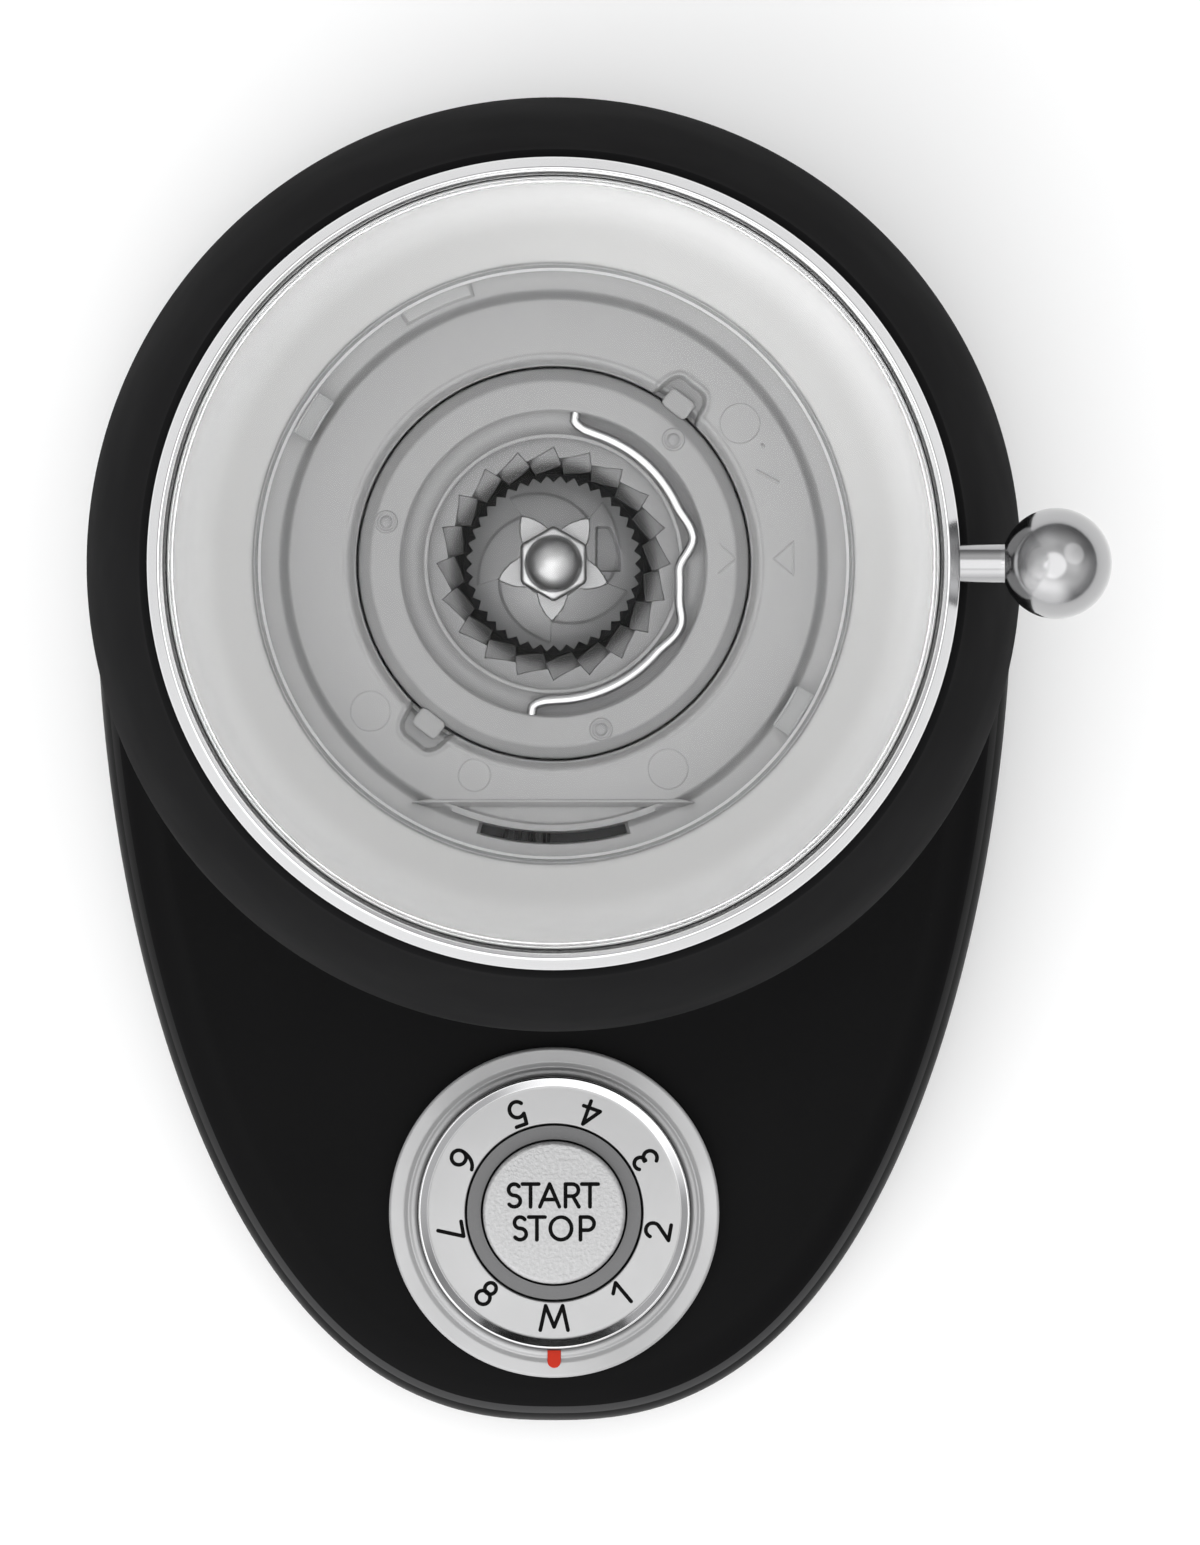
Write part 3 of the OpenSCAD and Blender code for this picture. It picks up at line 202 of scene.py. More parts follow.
def ring_shape(grid: Array, low_tip: Optional[Array] = None, high_tip: Optional[Array] = None) -> Shape:
    """Closes a grid of rings into a solid: as a loop of rings, or with a tip at its ends.

    Args:
        grid: rings of points, shaped (rows, cols, 3).
        low_tip: a point that closes the first ring.
        high_tip: a point that closes the last ring.

    Returns:
        The closed shape.
    """
    rows, cols = grid.shape[:2]
    looped = low_tip is None and high_tip is None
    here = np.arange(cols)
    there = (here + 1) % cols
    points, tris = [grid.reshape(-1, 3)], [np.zeros((0, 3), int)]
    count = rows * cols
    if low_tip is not None:
        points.append(np.reshape(low_tip, (1, 3)))
        tris.append(np.stack([np.full(cols, count), there, here], axis=1))
        count += 1
    if high_tip is not None:
        last = (rows - 1) * cols
        points.append(np.reshape(high_tip, (1, 3)))
        tris.append(np.stack([last + here, last + there, np.full(cols, count)], axis=1))
    return Shape(np.concatenate(points), grid_quads(rows, cols, looped, True), np.concatenate(tris))


def rounded(points: Points, radius: float, steps: int = 5, closed: bool = True) -> Array:
    """Rounds the corners of an outline: near each corner the outline follows a quadratic curve.

    Args:
        points: corners of the outline.
        radius: how far from a corner its rounding starts, or less where a side is short.
        steps: points on each rounding.
        closed: whether the outline closes on itself; an open one keeps its two ends.

    Returns:
        The rounded outline, with a point just outside each rounding to keep flats flat.
    """
    p = np.asarray(points, float)
    u, v = np.roll(p, 1, axis=0) - p, np.roll(p, -1, axis=0) - p
    lu, lv = (np.linalg.norm(side, axis=1, keepdims=True) for side in (u, v))
    u, v = u / np.maximum(lu, 1e-9), v / np.maximum(lv, 1e-9)
    back = np.minimum(radius, 0.38 * np.minimum(lu, lv))
    s = np.linspace(0, 1, steps)[None, :, None]
    a, b, c = (p + u * back)[:, None], p[:, None], (p + v * back)[:, None]
    curve = (1 - s) ** 2 * a + 2 * s * (1 - s) * b + s**2 * c
    guard = 1.3 * back
    rows = np.concatenate([(p + u * guard)[:, None], curve, (p + v * guard)[:, None]], axis=1)
    if closed:
        return rows.reshape(-1, 2)
    return np.concatenate([p[:1], rows[1:-1].reshape(-1, 2), p[-1:]])


def lathe(profile: Points, cols: int = 192) -> Shape:
    """Turns a profile of (radius, height) points round the vertical axis.

    Args:
        profile: an outline that runs anticlockwise; ends on the axis become tips.
        cols: points round the axis.

    Returns:
        The turned solid.
    """
    p = np.asarray(profile, float)
    low = np.array([0, 0, p[0, 1]]) if p[0, 0] < 1e-6 else None
    high = np.array([0, 0, p[-1, 1]]) if p[-1, 0] < 1e-6 else None
    p = p[(0 if low is None else 1) : (len(p) if high is None else -1)]
    return ring_shape(polar(p[:, :1], full_turn(cols), p[:, 1:]), low, high)


def tube(path: Array, radius: Number, sides: int = 16, looped: bool = False) -> Shape:
    """Carries a circle along a path, square to it at each point.

    Args:
        path: points of a path that nowhere runs straight up.
        radius: radius of the circle, or one at each point of the path.
        sides: points on the circle.
        looped: whether the path closes on itself.

    Returns:
        The swept solid.
    """
    p = np.asarray(path, float)
    ahead = np.roll(p, -1, axis=0) - np.roll(p, 1, axis=0) if looped else np.gradient(p, axis=0)
    ahead /= np.linalg.norm(ahead, axis=1, keepdims=True)
    across = np.cross(np.array([0.0, 0.0, 1.0]), ahead)
    across /= np.linalg.norm(across, axis=1, keepdims=True)
    over = np.cross(ahead, across)
    t = np.radians(full_turn(sides))[None, :, None]
    reach = np.broadcast_to(np.asarray(radius, float), (len(p),))[:, None, None]
    grid = p[:, None] + reach * (np.cos(t) * across[:, None] + np.sin(t) * over[:, None])
    grid = grid[:, ::-1]
    return ring_shape(grid) if looped else ring_shape(grid, p[0], p[-1])


def pillow(size: Sequence[float], centre: Sequence[float], power: float = 0.3, steps: int = 20) -> Shape:
    """A box with soft edges: each axis is half the side times a power of the sphere's sines and cosines.

    Args:
        size: lengths of the three sides.
        centre: middle of the box.
        power: 1 gives an ellipsoid, and near 0 a sharp box.
        steps: rows from bottom to top.

    Returns:
        The closed shape.
    """

    def bent(x: Array) -> Array:
        """Raises x to the power with its sign kept."""
        return np.sign(x) * np.abs(x) ** power

    v = np.radians(np.linspace(-90, 90, steps + 1)[1:-1])[:, None]
    t = np.radians(full_turn(4 * steps))
    girth = bent(np.cos(v))
    ball = np.broadcast_arrays(girth * bent(np.cos(t)), girth * bent(np.sin(t)), bent(np.sin(v)))
    half, c = np.asarray(size) / 2, np.asarray(centre, float)
    tip = np.array([0, 0, half[2]])
    return ring_shape(np.stack(ball, axis=-1) * half + c, c - tip, c + tip)


def perforated(outer: Array, inner: Array, solid: Array) -> Shape:
    """A wall between two grids, with some of its cells left open and their edges closed.

    Args:
        outer: outside points, shaped (rows, cols, 3), rows upwards and columns anticlockwise.
        inner: inside points in the same order.
        solid: True for each cell that is wall, shaped (rows - 1, cols - 1).

    Returns:
        The wall as a closed shape.
    """
    rows, cols = outer.shape[:2]
    n = rows * cols
    at = np.arange(n).reshape(rows, cols)
    face = grid_quads(rows, cols, False, False)[solid.reshape(-1)]
    edge = np.pad(solid, 1)
    walls = [face, face[:, ::-1] + n]
    left, right = edge[1:-1, :-1], edge[1:-1, 1:]
    side = np.stack([at[:-1], at[:-1] + n, at[1:] + n, at[1:]], axis=-1)
    walls += [side[left & ~right], side[~left & right][:, ::-1]]
    below, above = edge[:-1, 1:-1], edge[1:, 1:-1]
    shelf = np.stack([at[:, :-1], at[:, 1:], at[:, 1:] + n, at[:, :-1] + n], axis=-1)
    walls += [shelf[below & ~above], shelf[~below & above][:, ::-1]]
    return Shape(np.concatenate([outer.reshape(-1, 3), inner.reshape(-1, 3)]), np.concatenate(walls))


def feed(tree: Tree, node: Node, values: Values) -> None:
    """Fills sockets of a node.

    Args:
        tree: the nodes that it belongs to.
        node: the node.
        values: a constant, or a socket to link, for each input by its name or number.
    """
    for key, value in values.items():
        if isinstance(value, Socket):
            tree.links.new(value, node.inputs[key])
        else:
            node.inputs[key].default_value = value


def add_node(tree: Tree, kind: str, values: Values, **options: str) -> Node:
    """Adds a shader node.

    Args:
        tree: the nodes that it joins.
        kind: its type, without the word that every shader node's type starts with.
        values: constants and links for its inputs.
        options: its settings by name.

    Returns:
        The node.
    """
    node = tree.nodes.new("ShaderNode" + kind)
    for name, option in options.items():
        setattr(node, name, option)
    feed(tree, node, values)
    return node


def rescaled(tree: Tree, value: Socket, span: Pair, ends: Pair, smooth: bool = False) -> Socket:
    """Adds a node that maps a value from a span to two ends, and holds it there.

    Args:
        tree: the nodes that it joins.
        value: the value.
        span: where the change starts and stops.
        ends: results at the two ends of the span.
        smooth: whether the change starts and stops gently.

    Returns:
        The result.
    """
    values = {"Value": value, "From Min": span[0], "From Max": span[1], "To Min": ends[0], "To Max": ends[1]}
    kind = "SMOOTHSTEP" if smooth else "LINEAR"
    return add_node(tree, "MapRange", values, interpolation_type=kind).outputs["Result"]


class Texture(Enum):
    """How the fine marks of a finish run."""

    GRAIN = "grain"
    TURNED = "turned"


@dataclass(frozen=True)
class Finish:
    """A surface finish, made into a material whose colour, gloss and relief vary over the piece.

    Patches change the colour by the share called mottle and the roughness by the spread. Fine marks stand
    up by the relief. A far colour takes the place of the patches' tint, and comes in over a span of
    distances from the centre. Brushed metal stretches its gloss along the way out from the centre. Lengths
    are in metres, and patch and grain are noise scales.
    """

    name: str
    colour: Colour
    roughness: float
    metal: float = 0.0
    specular: float = 0.5
    mottle: float = 0.06
    patch: float = 45.0
    spread: float = 0.05
    grain: float = 1800.0
    relief: float = 0.00002
    texture: Texture = Texture.GRAIN
    centre: Pair = BURR_AT
    far_colour: Optional[Colour] = None
    far_span: Pair = (0.0, 1.0)
    transmission: float = 0.0
    ior: float = 1.5
    brushed: float = 0.0

    def material(self) -> bpy.types.Material:
        """Returns the finish's material, made the first time it is asked for."""
        made = bpy.data.materials.get(self.name + "_finish")
        return made if made is not None else self.build()

    def build(self) -> bpy.types.Material:
        """Builds the node tree: patches tint the colour and gloss, and fine marks give the relief.

        Returns:
            The new material.
        """
        mat = bpy.data.materials.new(self.name + "_finish")
        mat.use_nodes = True
        tree = mat.node_tree
        point = add_node(tree, "TexCoord", {}).outputs["Object"]
        noise = add_node(tree, "TexNoise", {"Vector": point, "Scale": self.patch, "Detail": 4.0})
        patches = noise.outputs["Fac"]
        values: Values = {
            "Metallic": self.metal,
            "Specular IOR Level": self.specular,
            "IOR": self.ior,
            "Transmission Weight": self.transmission,
            "Base Color": self.paint(tree, point, patches),
            "Roughness": self.gloss(tree, patches),
        }
        if self.relief > 0:
            values["Normal"] = self.marks(tree, point)
        if self.brushed > 0:
            values.update({"Anisotropic": self.brushed, "Tangent": self.outward(tree, point)})
        feed(tree, tree.nodes["Principled BSDF"], values)
        return mat

    def outward(self, tree: Tree, point: Socket) -> Socket:
        """Finds the way out from the finish's centre, seen from above.

        Args:
            tree: the material's nodes.
            point: the point on the piece.

        Returns:
            The level vector from the centre to the point, in metres.
        """
        back = (-self.centre[0], -self.centre[1], 0.0)
        values = {"Vector": point, "Location": back, "Scale": (1.0, 1.0, 0.0)}
        return add_node(tree, "Mapping", values).outputs["Vector"]

    def reach(self, tree: Tree, point: Socket) -> Socket:
        """Returns the distance from the finish's centre to the point, seen from above."""
        way = self.outward(tree, point)
        return add_node(tree, "VectorMath", {0: way}, operation="LENGTH").outputs["Value"]

    def paint(self, tree: Tree, point: Socket, patches: Socket) -> Socket:
        """Mixes two colours: by the distance from the centre if there is a far colour, or by the patches.

        Args:
            tree: the material's nodes.
            point: the point on the piece.
            patches: a value that drifts about one half.

        Returns:
            The colour.
        """
        if self.far_colour is not None:
            share = rescaled(tree, self.reach(tree, point), self.far_span, (0.0, 1.0), smooth=True)
            near, far = self.colour, self.far_colour
        else:
            share = patches
            near, far = ([min(1.0, c * k) for c in self.colour] for k in (1 - self.mottle, 1 + self.mottle))
        return add_node(tree, "Mix", {0: share, 6: (*near, 1.0), 7: (*far, 1.0)}, data_type="RGBA").outputs[2]

    def gloss(self, tree: Tree, patches: Socket) -> Socket:
        """Returns the roughness, which drifts with the patches."""
        low, high = max(0.02, self.roughness - self.spread), min(1.0, self.roughness + self.spread)
        return rescaled(tree, patches, (0.3, 0.7), (low, high))

    def marks(self, tree: Tree, point: Socket) -> Socket:
        """Raises fine marks: an even grain, or rings about the centre.

        Args:
            tree: the material's nodes.
            point: the point on the piece.

        Returns:
            The bent normal.
        """
        if self.texture is Texture.TURNED:
            noise = add_node(tree, "TexNoise", {"W": self.reach(tree, point)}, noise_dimensions="1D")
        else:
            noise = add_node(tree, "TexNoise", {"Vector": point})
        feed(tree, noise, {"Scale": self.grain, "Detail": 2.0})
        values = {"Strength": 1.0, "Distance": self.relief, "Height": noise.outputs["Fac"]}
        return add_node(tree, "Bump", values).outputs["Normal"]


# Black body paint for head and column: lighter than the base's copy of the same paint and almost without
# gloss, so the extra colour paints the soft sheen of the sloping sides.
BLACK_PAINT_PAINTED_SHEEN = Finish(
    "black_paint", (0.0085, 0.0085, 0.0088), 0.7, specular=0.006, relief=0.000012, grain=2600
)
BASE_PAINT = Finish("base_paint", (0.0036, 0.0036, 0.0038), 0.42, specular=0.045, relief=0.000012, grain=2600)
# Base's rounded edge: a little more gloss, and a far colour about ten times lighter towards the front that
# paints a highlight line.
EDGE_GLOSS_PAINTED_HIGHLIGHT = Finish(
    "edge_gloss_painted_highlight", (0.0036, 0.0036, 0.0038), 0.35, specular=0.12, relief=0.000006, grain=2600,
    far_colour=(0.034, 0.034, 0.035), far_span=(0.095, 0.158),
)
BLACK_PLASTIC = Finish("black_plastic", (0.012, 0.012, 0.0125), 0.6, specular=0.3)
RUBBER = Finish("foot_rubber", (0.02, 0.02, 0.021), 0.85, specular=0.25, grain=1200, relief=0.00005)
CHROME = Finish("chrome", (0.54, 0.54, 0.545), 0.1, metal=1.0, mottle=0.02, spread=0.02, relief=0.0000015)
BALL_STEEL = Finish(
    "ball_steel", (0.34, 0.34, 0.344), 0.16, metal=1.0, mottle=0.03, spread=0.03, relief=0.000002
)
RING_CHROME = Finish(
    "ring_chrome", (0.6, 0.6, 0.605), 0.15, metal=1.0, mottle=0.02, spread=0.03, relief=0.000002
)
NUT_STEEL = Finish("nut_steel", (0.48, 0.48, 0.483), 0.42, metal=1.0, mottle=0.05, relief=0.000004)
SATIN = Finish(
    "satin_metal", (0.43, 0.43, 0.433), 0.5, metal=1.0, mottle=0.03, texture=Texture.TURNED,
    centre=DIAL_AT, grain=2400, relief=0.000008, brushed=0.8,
)
DIAL_FACE = Finish(
    "dial_face", (0.345, 0.345, 0.347), 0.4, metal=0.9, mottle=0.02, grain=3000, relief=0.000006
)
BLASTED = Finish(
    "blasted_metal", (0.42, 0.42, 0.423), 0.5, metal=0.8, mottle=0.3, patch=1500, grain=1500, relief=0.0001
)
COLLAR_GREY = Finish("collar_grey", (0.145, 0.145, 0.147), 0.5, specular=0.3)
GREY_PLASTIC = Finish("grey_plastic", (0.335, 0.335, 0.336), 0.4, specular=0.4, mottle=0.03, relief=0.000012)
# Deck plate grey, painted lighter in the channel beyond 48.4 mm from the axis: painted light that cancels the
# shade under the bowl's neck.
DECK_GREY_PAINTED_LIGHT = Finish(
    "deck_grey_painted_light", (0.335, 0.335, 0.336), 0.4, specular=0.4, relief=0.000012,
    far_colour=(0.44, 0.44, 0.441), far_span=(0.0484, 0.0499),
)
CARRIER_GREY = Finish("carrier_grey", (0.3, 0.3, 0.301), 0.4, specular=0.4, mottle=0.03, relief=0.000012)
# Dish grey, painted almost white towards its rim, where it curves up under the bowl's bend: painted light.
DISH_GREY_PAINTED_LIGHT = Finish(
    "dish_grey_painted_light", (0.69, 0.69, 0.687), 0.45, specular=0.4, relief=0.00001,
    far_colour=(0.99, 0.99, 0.99), far_span=(0.0595, 0.0668),
)
# Ring burr's cut sides: near black towards the bore as painted shade in the gaps between the lands, steel
# grey further out.
BURR_STEEL_PAINTED_SHADE = Finish(
    "burr_steel", (0.03, 0.03, 0.03), 0.42, metal=0.5, patch=260, grain=2500,
    far_colour=(0.2, 0.2, 0.202), far_span=(0.0172, 0.0198),
)
BURR_FLAT = Finish("burr_flat", (0.2, 0.2, 0.202), 0.42, metal=0.5, mottle=0.08, patch=160, grain=2500)
CONE_STEEL = Finish("cone_steel", (0.28, 0.28, 0.283), 0.4, metal=0.5, mottle=0.1, patch=140, grain=2500)
CONE_FACET = Finish("cone_facet", (0.33, 0.33, 0.333), 0.4, metal=0.5, mottle=0.06, patch=140, grain=2500)
ZINC = Finish("zinc_steel", (0.42, 0.43, 0.44), 0.4, metal=1.0, mottle=0.08, patch=120)
CLEAR = Finish(
    "clear_plastic", (0.995, 0.995, 0.994), 0.03, mottle=0.002, spread=0.01, relief=0.0,
    transmission=1.0, ior=1.2,
)
CLEAR_LID = Finish(
    "clear_lid", (0.996, 0.996, 0.996), 0.02, mottle=0.002, spread=0.01, relief=0.0,
    transmission=1.0, ior=1.12,
)
CLIP = Finish("clear_clip", (0.94, 0.945, 0.945), 0.2, mottle=0.02, transmission=0.8, ior=1.25)
# Whitish, half-diffuse clear plastic on the rims' edge faces: it paints the bright highlight lines along the
# clear edges.
CLEAR_EDGE_PAINTED_HIGHLIGHT = Finish("clear_edge_painted_highlight", (0.95, 0.955, 0.955), 0.35, mottle=0.02, transmission=0.5, ior=1.2)
SEAL = Finish("clear_seal", (0.93, 0.935, 0.935), 0.3, mottle=0.02, transmission=0.5, ior=1.3)
RED = Finish("red_mark", (0.43, 0.022, 0.007), 0.45, specular=0.12, mottle=0.08, patch=900)
SCREW_ZINC = Finish("screw_zinc", (0.3, 0.3, 0.303), 0.6, metal=0.6, mottle=0.1, patch=900, relief=0.00004)
SWITCH_BLACK = Finish("switch_black", (0.022, 0.022, 0.0225), 0.5, specular=0.2, mottle=0.1, patch=400)
INK = Finish("black_ink", (0.005, 0.005, 0.005), 0.7, specular=0.03, relief=0.000004)
BOARD = Finish("circuit_board", (0.03, 0.11, 0.06), 0.45, mottle=0.2, patch=300)
NYLON = Finish("white_nylon", (0.66, 0.63, 0.54), 0.5, specular=0.4)
DARK_NYLON = Finish("grey_nylon", (0.075, 0.077, 0.08), 0.55, specular=0.35)
ARMATURE = Finish("armature", (0.2, 0.12, 0.07), 0.4, metal=0.6, mottle=0.2, patch=250)
PALE_FLOOR = Finish("pale_floor", (0.97, 0.97, 0.97), 0.8, specular=0.1, mottle=0.005, relief=0.0)

NODE_FINISHES = {
    BLACK_PAINT_PAINTED_SHEEN: ["base_shell", "column_shell", "rear_cover", "head_shell", "container_plinth"],
    BLACK_PLASTIC: [
        "base_plate", "head_floor", "cord_gland", "motor_cap", "grounds_chute", "adjust_hub",
        "interlock_switch", "start_switch", "container_lid",
    ],
    RUBBER: ["feet", "container_mat"],
    ZINC: ["base_screws", "carrier_screws", "motor_can", "gear_pin", "burr_shaft", "shaft_bearings"],
    BOARD: ["control_board", "dial_encoder"],
    DARK_NYLON: ["gearbox_tray", "gearbox_cover", "burr_chamber", "sweeper"],
    COLLAR_GREY: ["control_module"],
    SATIN: ["dial_bezel", "dial_ring", "start_button"],
    RED: ["pointer_mark"],
    ARMATURE: ["motor_rotor"],
    NYLON: ["compound_gear", "output_gear"],
    BURR_STEEL_PAINTED_SHADE: ["cone_burr", "ring_burr"],
    CHROME: ["burr_nut", "bail_handle", "adjust_ring", "lever_stem", "lever_ball"],
    GREY_PLASTIC: ["burr_carrier", "hopper_deck", "burr_seat"],
    CLEAR: ["hopper", "hopper_lid", "container"],
    SEAL: ["lid_seal"],
}


def dress_nodes() -> None:
    """Gives every carried-over solid its finish."""
    for finish, names in NODE_FINISHES.items():
        for name in names:
            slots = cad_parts[name].data.materials
            slots.clear()
            slots.append(finish.material())


def mesh_of(name: str, shape: Shape) -> bpy.types.Mesh:
    """Makes a smooth-shaded mesh, in metres in the row frame.

    Args:
        name: the mesh's name.
        shape: corners and faces in millimetres from the burr axis.

    Returns:
        The mesh, with edges sharper than the smooth limit kept crisp.
    """
    mesh = bpy.data.meshes.new(name)
    sizes = np.concatenate([np.full(len(shape.quads), 4), np.full(len(shape.tris), 3)])
    corners = np.concatenate([shape.quads.reshape(-1), shape.tris.reshape(-1)])
    mesh.vertices.add(len(shape.points))
    mesh.vertices.foreach_set("co", (shape.points / 1000 + AXIS).astype(np.float32).reshape(-1))
    mesh.loops.add(len(corners))
    mesh.loops.foreach_set("vertex_index", corners.astype(np.int32))
    mesh.polygons.add(len(sizes))
    mesh.polygons.foreach_set("loop_start", (np.cumsum(sizes) - sizes).astype(np.int32))
    mesh.polygons.foreach_set("loop_total", sizes.astype(np.int32))
    mesh.update(calc_edges=True)
    mesh.validate()
    mesh.shade_smooth()
    mesh.set_sharp_from_angle(angle=SMOOTH_LIMIT)
    return mesh


def place(
    name: str,
    shape: Shape,
    finish: Finish,
    body: str,
    stands_for: Sequence[str] = (),
    second: Optional[Tuple[Finish, Array]] = None,
) -> None:
    """Adds a piece to the scene and lets it move with a body.

    Args:
        name: the piece's name.
        shape: its form.
        finish: its surface.
        body: the body that carries it.
        stands_for: solids that it takes the place of.
        second: another finish, and True for each face that takes it.
    """
    mesh = mesh_of(name, shape)
    mesh.materials.append(finish.material())
    if second is not None:
        mesh.materials.append(second[0].material())
        mesh.polygons.foreach_set("material_index", second[1].astype(np.int32))
    obj = bpy.data.objects.new(name, mesh)
    bpy.context.scene.collection.objects.link(obj)
    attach(obj, body)
    if stands_for:
        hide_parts(*stands_for)
    LOG.info("%s: %d faces on %s", name, len(mesh.polygons), body)


@dataclass
class Housing:
    """Base, column and head: the painted shells."""

    cols: int = 288
    wall: float = 2.6
    base_reach: float = 158.4
    base_z: float = 3.0
    base_top: float = 45.0
    base_fillet: float = 9.0
    side_power: float = 2 / 2.4
    front_power: float = 2 / 1.9
    # Rows of the base's rounded edge that take the painted highlight.
    highlight_rows: Tuple[int, int] = (-10, -11)
    dial_hole_r: float = 22.5
    column_r: float = 77.0
    column_corner: float = 10.0
    column_front: float = 12.0
    niche_at: float = 42.0
    niche_r: float = 45.0
    split: float = 34.0
    seam: float = 0.4
    slot_count: int = 7
    slot_pitch: float = 8.0
    slot_half: float = 1.5
    slot_low: float = 59.0
    slot_high: float = 93.0
    head_r: float = 85.0
    head_z: float = 186.0
    belly_z: float = 212.0
    head_top: float = 286.0
    head_top_r: float = 74.5
    head_fillet: float = 6.0
    head_edge: float = 1.4
    head_mouth: float = 74.0
    flange_in_r: float = 60.5

    def outline(self, inset: float) -> Array:
        """Half a circle behind the axis, and in front x and y as powers of cosine and sine.

        Args:
            inset: how far inside the base's edge the outline lies.

        Returns:
            The outline's points.
        """
        c, s = polar(1.0, full_turn(self.cols), 0.0)[:, :2].T
        side, front = self.head_r - inset, self.base_reach - inset
        x = np.where(s >= 0, c, np.sign(c) * np.abs(c) ** self.side_power) * side
        y = np.where(s >= 0, s * side, -np.abs(s) ** self.front_power * front)
        return np.stack([x, y], axis=1)

    def base(self) -> Tuple[Shape, Array]:
        """A loop of outlines: dial hole, top, rounded edge, wall, foot edge, and back up inside.

        Returns:
            The shell, and True for the faces of the glossy line along its rounded edge.
        """
        f, z, top = self.base_fillet, self.base_z, self.base_top
        turn = top - f
        edge, hollow = (arc((f, turn), r, 90, 180, 14) for r in (f, f - self.wall))
        foot = [(0.0, z + 1.6), (0.25, z + 0.6), (0.9, z), (self.wall, z), (self.wall, turn)]
        levels = np.concatenate([[(f + 0.6, top)], edge, foot, hollow[::-4]])
        centre = np.array([0.0, -DIAL_REACH])
        way = self.outline(0.0) - centre
        hole = centre + self.dial_hole_r * way / np.linalg.norm(way, axis=1, keepdims=True)
        rims = [lifted(hole, height) for height in (top - self.wall, top)]
        loop = np.stack([lifted(self.outline(inset), height) for inset, height in levels] + rims)
        edge_highlight_faces = np.zeros(len(loop), bool)
        edge_highlight_faces[list(self.highlight_rows)] = True
        return ring_shape(loop[::-1]), np.repeat(edge_highlight_faces, self.cols)

    def column_path(self) -> Array:
        """Draws half of the column's outline with arcs.

        Returns:
            Points from the seam at the back to the middle of the niche.
        """
        cy = self.column_corner - self.column_front
        cx = np.sqrt((self.column_r - self.column_corner) ** 2 - cy * cy)
        meet = np.degrees(np.arctan2(cy, cx))
        seam = np.degrees(np.arcsin(self.split / self.column_r))
        edge = np.degrees(np.arcsin((self.niche_at - self.column_front) / self.niche_r))
        back = arc((0, 0), self.column_r, seam, meet, 28)
        corner = arc((cx, cy), self.column_corner, meet, -90, 24)[1:]
        niche = arc((0, -self.niche_at), self.niche_r, edge, 90, 36)
        front = np.linspace(corner[-1], niche[0], 6)[1:-1]
        return np.concatenate([back, corner, front, niche])

    def column(self) -> Shape:
        """Carries the wall's section along the outline, from seam to seam round the front.

        Returns:
            The column's shell.
        """
        half = self.column_path()
        path = np.concatenate([half, half[-2::-1] * [-1, 1]])
        ahead = np.gradient(path, axis=0)
        ahead /= np.linalg.norm(ahead, axis=1, keepdims=True)
        inward = path + self.wall * np.stack([ahead[:, 1], -ahead[:, 0]], axis=1)
        levels = (self.base_top, self.base_top + 1, self.head_z - 1, self.head_z)
        outer, inner = (np.stack([lifted(plan[::-1], z) for z in levels]) for plan in (path, inward))
        return perforated(outer, inner, np.ones((len(levels) - 1, len(path) - 1), bool))

    def rear_cover(self) -> Shape:
        """The back of the column as a curved wall with a row of upright cooling slots.

        Returns:
            The cover.
        """
        seam = np.degrees(np.arcsin((self.split + self.seam) / self.column_r))
        slots = (np.arange(self.slot_count) - self.slot_count // 2) * self.slot_pitch
        sides = np.concatenate([slots - self.slot_half, slots + self.slot_half])
        edges = np.degrees(np.arccos(sides / self.column_r))
        turns = np.unique(np.concatenate([np.linspace(seam, 180 - seam, 80), edges]))
        ends = [self.base_top, self.base_top + 1], [self.head_z - 1, self.head_z]
        levels = np.array([*ends[0], self.slot_low, self.slot_high, *ends[1]])
        mid = self.column_r * np.cos(np.radians((turns[1:] + turns[:-1]) / 2))
        open_cols = (np.abs(mid[:, None] - slots) < self.slot_half).any(axis=1)
        open_rows = (levels[:-1] >= self.slot_low) & (levels[1:] <= self.slot_high)
        radii = (self.column_r, self.column_r - self.wall)
        outer, inner = (polar(r, turns, levels[:, None]) for r in radii)
        return perforated(outer, inner, ~(open_rows[:, None] & open_cols))

    def head(self) -> Shape:
        """A bell whose side is one long arc, with a rounded foot and a flange at its top.

        Returns:
            The head's shell.
        """
        rise, fall = self.head_top - self.belly_z, self.head_r - self.head_top_r
        bow = (rise * rise + fall * fall) / (2 * fall)
        f, edge, mouth, flange = self.head_fillet, self.head_edge, self.head_mouth, self.flange_in_r
        low, high, top = self.head_z + f, self.head_top - edge, self.head_top

        def side(z: Number) -> Number:
            """Radius of the side at height z."""
            return self.head_r - bow + np.sqrt(bow * bow - (z - self.belly_z) ** 2)

        z = np.linspace(low, high, 40)[1:-1]
        inner_z = np.linspace(top - self.wall, low, 24)
        low_c, high_c = (side(low) - f, low), (side(high) - edge, high)
        profile = [
            [(mouth, self.head_z), (mouth + 1, self.head_z)],
            arc(low_c, f, -90, 0, 12),
            np.stack([side(z), z], axis=1),
            arc(high_c, edge, 0, 90, 6),
            [(high_c[0] - 0.5, top), (flange + 0.3, top), (flange, top - 0.3), (flange, top - self.wall)],
            np.stack([side(inner_z) - self.wall, inner_z], axis=1),
            arc(low_c, f - self.wall, 0, -90, 8)[1:],
            [(mouth, self.head_z + self.wall)],
        ]
        return lathe(np.concatenate(profile), self.cols)

    def build(self) -> None:
        """Adds the painted shells."""
        base, edge = self.base()
